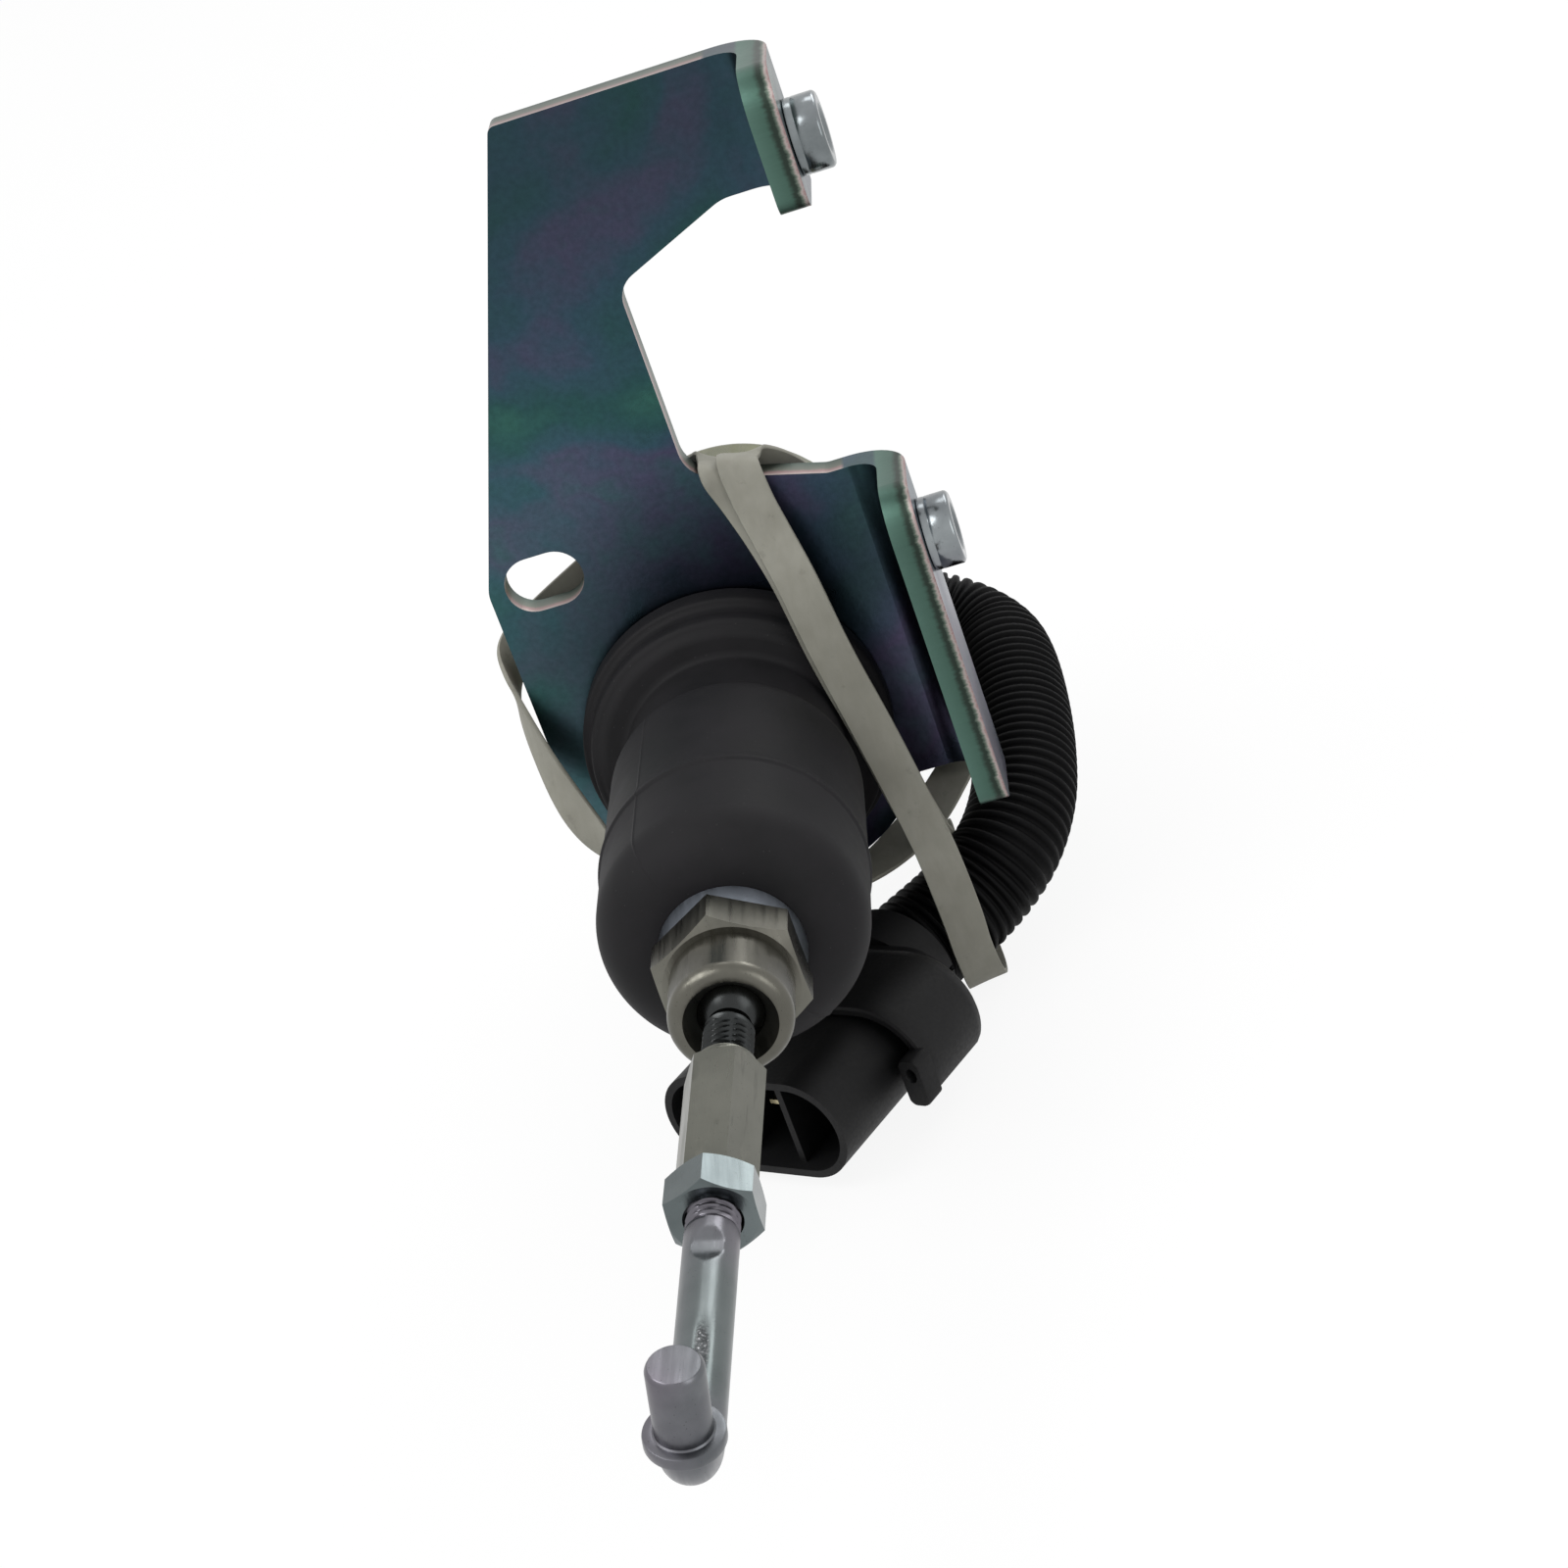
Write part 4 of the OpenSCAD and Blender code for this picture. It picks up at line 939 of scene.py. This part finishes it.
def build_boot():
    """The moulded boot: base lips, neck, stepped barrel, parting ring, seam."""
    front_r, barrel_r, face_u, dome_u = 12.0, 21.8, BOOT_FRONT, 69.7
    ridge_h, ridge_w, sag = 0.16, 0.16, 0.10
    outer = [
        (22.0, 0.3), (26.7, 0.3), (27.05, 0.42), (27.2, 0.8), (27.2, 4.4), (27.05, 4.85),
        (26.6, 5.05), (26.0, 5.3), (25.65, 5.9), (25.6, 6.4), (25.42, 6.85), (25.5, 7.2),
        (25.5, 9.0), (25.3, 9.5), (24.6, 9.9), (23.9, 10.3), (23.5, 10.9), (22.4, 11.2),
        (20.6, 11.45), (19.8, 11.7), (19.4, 12.1), (19.3, 12.6), (19.3, 17.0), (19.3, 21.4),
        (19.5, 22.2), (20.3, 24.0), (20.85, 25.2), (21.15, 26.0), (21.35, 26.8), (21.4, 28.0),
        (21.5, 36.0), (21.55, 36.4), (21.55, 44.0), (21.62, 44.4), (21.68, 52.0), (21.85, 53.2),
        (22.1, 54.4), (22.16, 54.9), (22.1, 55.2), (21.84, 55.5), (21.75, 55.9), (21.75, 62.0),
        (21.75, 69.2),
    ]
    arc = [
        (
            front_r + (barrel_r - 0.05 - front_r) * math.cos(math.radians(a)),
            dome_u + (face_u - dome_u) * math.sin(math.radians(a)),
        )
        for a in np.linspace(2, 90, 28)
    ]
    hole = [
        (9.0, face_u), (6.6, face_u), (6.35, face_u - 0.2), (6.3, face_u - 0.6),
        (6.3, face_u - 2.0),
    ]
    inner = [
        (12.0, face_u - 2.2), (17.0, face_u - 3.6), (19.0, 70.0), (19.5, 60.0), (19.2, 30.0),
        (17.3, 22.0), (17.3, 12.0), (18.4, 9.2), (18.4, 7.8), (22.0, 6.8),
    ]
    profile = outer + arc + hole + inner
    n_outside = len(outer) + len(arc)
    # even steps round the axis, with closer ones at the two seams
    base = np.linspace(0, 2 * math.pi, 160, endpoint=False)
    seams = [math.radians(SEAM_DEG), math.radians(SEAM_DEG + 180)]
    beside = (-1.1, -0.7, -0.4, -0.2, 0, 0.2, 0.4, 0.7, 1.1)
    extra = [s + math.radians(d) for s in seams for d in beside]
    ang = np.sort(np.array([a % (2 * math.pi) for a in [*base, *extra]]))
    keep = np.concatenate([[True], np.diff(ang) > 1e-4])
    ang = ang[keep]
    rings = []
    for i, (r, u) in enumerate(profile):
        ridge = np.zeros_like(ang)
        if u > 26.0 and i < n_outside:
            fade = min(1.0, (u - 26.0) / 3.0) * (0.55 if u < 55 else 1.0)
            for s in seams:
                d = np.abs((ang - s + math.pi) % (2 * math.pi) - math.pi)
                ridge += ridge_h * fade * np.exp(-((d * r) ** 2) / (2 * ridge_w**2))
        # barrel slightly out of round, as soft rubber stands
        soft = 0.0
        if 12 < u < 78 and i < n_outside:
            soft = sag * np.sin(2 * ang + 0.7) * math.sin(math.pi * (u - 12) / 66)
        rr = r + ridge + soft
        ring = [rr * np.cos(ang), rr * np.sin(ang), np.full_like(ang, u)]
        rings.append(np.stack(ring, axis=1))
    verts = np.concatenate(rings) * MM
    ob = make_mesh("moulded_boot", verts, grid_faces(len(rings), len(ang), close_rings=True))
    ob.data.transform(on_axis_matrix())
    tidy_normals(ob, 50.0)
    return ob


boot = build_boot()
place(boot, "boot", ROOT, "boot_rubber", "boot")
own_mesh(boot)


# return spring, shortened with the plunger
def build_spring(lo, hi):
    """The CAD's helix with a round wire, between the node's two ends."""
    coil_r, wire_r, turns, sides = 5.3, 0.58, 11, 12
    near = -AXIS[1] - lo[1] / MM - wire_r
    far = -AXIS[1] - hi[1] / MM + wire_r
    ang = np.linspace(0, 2 * math.pi * turns, turns * 32 + 1)
    along = np.linspace(far, near, len(ang))
    path = np.stack([coil_r * np.cos(ang), coil_r * np.sin(ang), along], axis=1)
    _, side, up = path_frames(path)
    around = np.linspace(0, 2 * math.pi, sides, endpoint=False)
    across = side[:, None, :] * (wire_r * np.cos(around))[None, :, None]
    over = up[:, None, :] * (wire_r * np.sin(around))[None, :, None]
    verts = (path[:, None, :] + across + over).reshape(-1, 3)
    faces = grid_faces(len(path), sides) + end_caps(len(path), sides)
    ob = make_mesh("coil_spring", verts * MM, faces)
    ob.data.transform(on_axis_matrix())
    tidy_normals(ob, 60.0)
    return ob


spring_lo, spring_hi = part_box("return_spring")
spring = build_spring(spring_lo, spring_hi)
place(spring, "spring", ROOT, "spring_steel", "return_spring")
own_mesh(spring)


# rubber band: points of its middle line, each with the direction across its width
band_route = [
    [15.6, -1, 47.4, 1, 0, -0.28],
    [16.4, -3.9, 41.5, 1, 0, 0.15],
    [17.8, -6.6, 35.5, 1, 0, 0.22],
    [19.7, -10.9, 28.3, 1, 0, 0.25],
    [21.7, -14.2, 15.4, 0.97, 0.1, 0.25],
    [24.6, -16.4, -1.2, 0.96, 0.1, 0.25],
    [27.4, -19.8, -17.5, 0.97, 0.1, 0.22],
    [28.4, -21.6, -24.5, 0.97, 0.15, 0.16],
    [29.1, -23.9, -35, 0.97, 0.2, 0.1],
    [29, -23.6, -42, 0.95, 0.3, 0],
    [29, -19, -51, 0.9, 0.45, -0.1],
    [28.6, -9.5, -53.8, 0.85, 0.5, -0.1],
    [27.4, -1, -49.5, 0.85, 0.4, 0.1],
    [26, 4.4, -40, 0.95, 0.2, 0.2],
    [26.4, 1, -30.5, 0.97, 0.1, 0.2],
    [27.4, -9, -27, 0.97, 0.1, 0.2],
    [27.0, -16.6, -18.2, 0.97, 0.1, 0.22],
    [24.1, -15.0, -1.9, 0.96, 0.1, 0.25],
    [21.0, -12.8, 14.7, 0.97, 0.1, 0.25],
    [18.8, -9.4, 27.6, 1, 0, 0.25],
    [16.4, -4.9, 35.3, 1, 0, 0.2],
    [14.2, -2.3, 41.5, 1, 0, 0.1],
    [12.3, -0.9, 46.7, 1, 0, -0.36],
    [12, 3, 47.4, 1, 0, -0.36],
    [11, 6.2, 46.9, 0.95, 0, -0.5],
    [7.5, 7.4, 44.8, 0.7, 0, -0.7],
    [1, 7.6, 41.5, 0.45, 0, -0.89],
    [-12, 8, 35, 0.45, 0, -0.89],
    [-25, 8, 28.6, 0.45, 0, -0.89],
    [-33, 7.4, 24, 0.4, 0, -0.9],
    [-35.3, 2.5, 19, 0, 0.2, -1],
    [-33.5, -5, 8.5, -0.4, 0.4, -0.7],
    [-29.5, -12, -3, -0.7, 0.35, -0.4],
    [-24, -15, -12, -0.5, 0.75, -0.3],
    [-14, -15.5, -22.2, 0, 0.95, -0.2],
    [0, -14.5, -27.3, 0, 1, -0.1],
    [14, -11.5, -27.9, -0.1, 0.93, 0.2],
    [25, -5.5, -25, -0.37, 0.6, 0.6],
    [31.5, 0, -21.6, -0.75, 0.55, 0.3],
    [34, 4.5, -19.6, -1, 0.1, 0],
    [34, 9, -15, -1, 0, 0],
    [33, 10, -2, -0.8, 0.6, 0],
    [30.5, 10, 12, 0, 1, 0],
    [27.5, 10, 26, 0.8, 0.6, 0.2],
    [22.5, 8.5, 39, 0.92, 0, 0.4],
    [17.4, 5.6, 45.7, 1, 0, 0],
    [15.8, 2.5, 47.6, 1, 0, -0.28],
]
BAND_W, BAND_T = 7.2, 0.9


def build_band():
    """A flat closed loop that twists from station to station of its route."""
    edge_r, corner, bulge = 0.97, 0.55, 0.10
    ripple, ripple_rate = 0.02, 0.21
    line = curve_points(band_route, 14, closed=True)
    p, w0 = line[:, :3], line[:, 3:]
    t = np.roll(p, -1, axis=0) - np.roll(p, 1, axis=0)
    t /= np.linalg.norm(t, axis=1)[:, None]
    w = w0 - t * np.sum(w0 * t, axis=1)[:, None]
    w /= np.linalg.norm(w, axis=1)[:, None]
    m = np.cross(t, w)
    seg = np.linalg.norm(np.roll(p, -1, axis=0) - p, axis=1)
    s = np.concatenate([[0.0], np.cumsum(seg)[:-1]])
    half_w = BAND_W / 2 * (1 - ripple * (1 + np.sin(s * ripple_rate)) / 2)
    half_t = BAND_T / 2
    # rounded cross-section: one wide face and cut side, then the other two
    section = []
    for face in (1.0, -1.0):
        for a in np.linspace(-face, face, 9):
            section.append((a * edge_r, face * (1.0 - bulge * abs(a) ** 6)))
        section += [(face, face * corner), (face, -face * corner)]
    rings = np.stack(
        [p + w * (half_w * a)[:, None] + m * (half_t * b) for a, b in section], axis=1
    )
    verts = row(rings.reshape(-1, 3))
    faces = grid_faces(len(p), len(section), close_rings=True)
    ob = make_mesh("tie_band", verts, faces)
    tidy_normals(ob, 50.0)
    return ob


band = build_band()
place(band, "band", ROOT, "band_rubber", "rubber_band")


# studio
def seen_rays(tree, share):
    """1 for the rays that show the background: camera, glossy and transmission."""
    path = tree.nodes.new("ShaderNodeLightPath")
    value = path.outputs["Is Camera Ray"]
    for name in ("Is Glossy Ray", "Is Transmission Ray"):
        either = tree.nodes.new("ShaderNodeMath")
        either.operation = "MAXIMUM"
        tree.links.new(value, either.inputs[0])
        tree.links.new(path.outputs[name], either.inputs[1])
        value = either.outputs[0]
    scaled = tree.nodes.new("ShaderNodeMath")
    scaled.operation = "MULTIPLY"
    scaled.inputs[1].default_value = share
    tree.links.new(value, scaled.inputs[0])
    return scaled.outputs[0]


def build_floor():
    """A pale sheet that keeps the shadow and shows near white to the camera."""
    below = 0.0006
    me = bpy.data.meshes.new("floor")
    bm = bmesh.new()
    bmesh.ops.create_grid(bm, x_segments=1, y_segments=1, size=6.0)
    bm.to_mesh(me)
    bm.free()
    floor = bpy.data.objects.new("floor", me)
    floor.location = (0, 0, cad_box[0].z - below)
    bpy.context.scene.collection.objects.link(floor)
    m = bpy.data.materials.new("floor_paper")
    m.use_nodes = True
    t = m.node_tree
    t.nodes.clear()
    out = t.nodes.new("ShaderNodeOutputMaterial")
    diffuse = t.nodes.new("ShaderNodeBsdfDiffuse")
    diffuse.inputs["Color"].default_value = (0.8, 0.8, 0.8, 1)
    glow = t.nodes.new("ShaderNodeEmission")
    glow.inputs["Color"].default_value = (1, 1, 1, 1)
    glow.inputs["Strength"].default_value = 1.0
    mixer = t.nodes.new("ShaderNodeMixShader")
    t.links.new(seen_rays(t, 0.9), mixer.inputs[0])
    t.links.new(diffuse.outputs[0], mixer.inputs[1])
    t.links.new(glow.outputs[0], mixer.inputs[2])
    t.links.new(mixer.outputs[0], out.inputs["Surface"])
    me.materials.append(m)


def build_world():
    """White to the camera, and a grey dome, brightest overhead, for the light."""
    world = bpy.data.worlds.new("studio")
    bpy.context.scene.world = world
    world.use_nodes = True
    t = world.node_tree
    t.nodes.clear()
    out = t.nodes.new("ShaderNodeOutputWorld")
    seen = t.nodes.new("ShaderNodeBackground")
    seen.inputs["Color"].default_value = (1, 1, 1, 1)
    seen.inputs["Strength"].default_value = 1.0
    fill = t.nodes.new("ShaderNodeBackground")
    fill.inputs["Strength"].default_value = 1.0
    coord = t.nodes.new("ShaderNodeTexCoord")
    split = t.nodes.new("ShaderNodeSeparateXYZ")
    ramp = t.nodes.new("ShaderNodeValToRGB")
    spread = t.nodes.new("ShaderNodeMapRange")
    spread.inputs["From Min"].default_value = -1.0
    spread.inputs["From Max"].default_value = 1.0
    set_stops(ramp, [(0.0, 0.35), (0.45, 0.28), (0.62, 0.45), (0.85, 0.95), (1.0, 1.1)])
    mixer = t.nodes.new("ShaderNodeMixShader")
    t.links.new(coord.outputs["Generated"], split.inputs[0])
    t.links.new(split.outputs["Z"], spread.inputs["Value"])
    t.links.new(spread.outputs["Result"], ramp.inputs["Fac"])
    t.links.new(ramp.outputs["Color"], fill.inputs["Color"])
    t.links.new(seen_rays(t, 1.0), mixer.inputs[0])
    t.links.new(fill.outputs[0], mixer.inputs[1])
    t.links.new(seen.outputs[0], mixer.inputs[2])
    t.links.new(mixer.outputs[0], out.inputs["Surface"])


def soft_box(name, at, size, power):
    """A rectangular lamp that looks at the middle of the object."""
    data = bpy.data.lights.new(name, "AREA")
    data.shape = "RECTANGLE"
    data.size, data.size_y = size
    data.energy = power
    ob = bpy.data.objects.new(name, data)
    ob.location = at
    look = Vector((-0.04, -0.03, 0.0)) - Vector(at)
    ob.rotation_euler = look.to_track_quat("-Z", "Y").to_euler()
    bpy.context.scene.collection.objects.link(ob)


build_floor()
build_world()
soft_box("key", (-0.7, -0.5, 1.1), (0.9, 0.7), 9.0)
soft_box("fill", (1.0, -0.9, 0.4), (0.6, 0.9), 3.0)
# these two stand where the jam nut's top facet reflects them and the coupling's doesn't
soft_box("back", (0.60, 0.89, 0.83), (0.7, 0.5), 4.0)
soft_box("top", (0.16, 0.73, 1.16), (0.35, 0.35), 1.0)
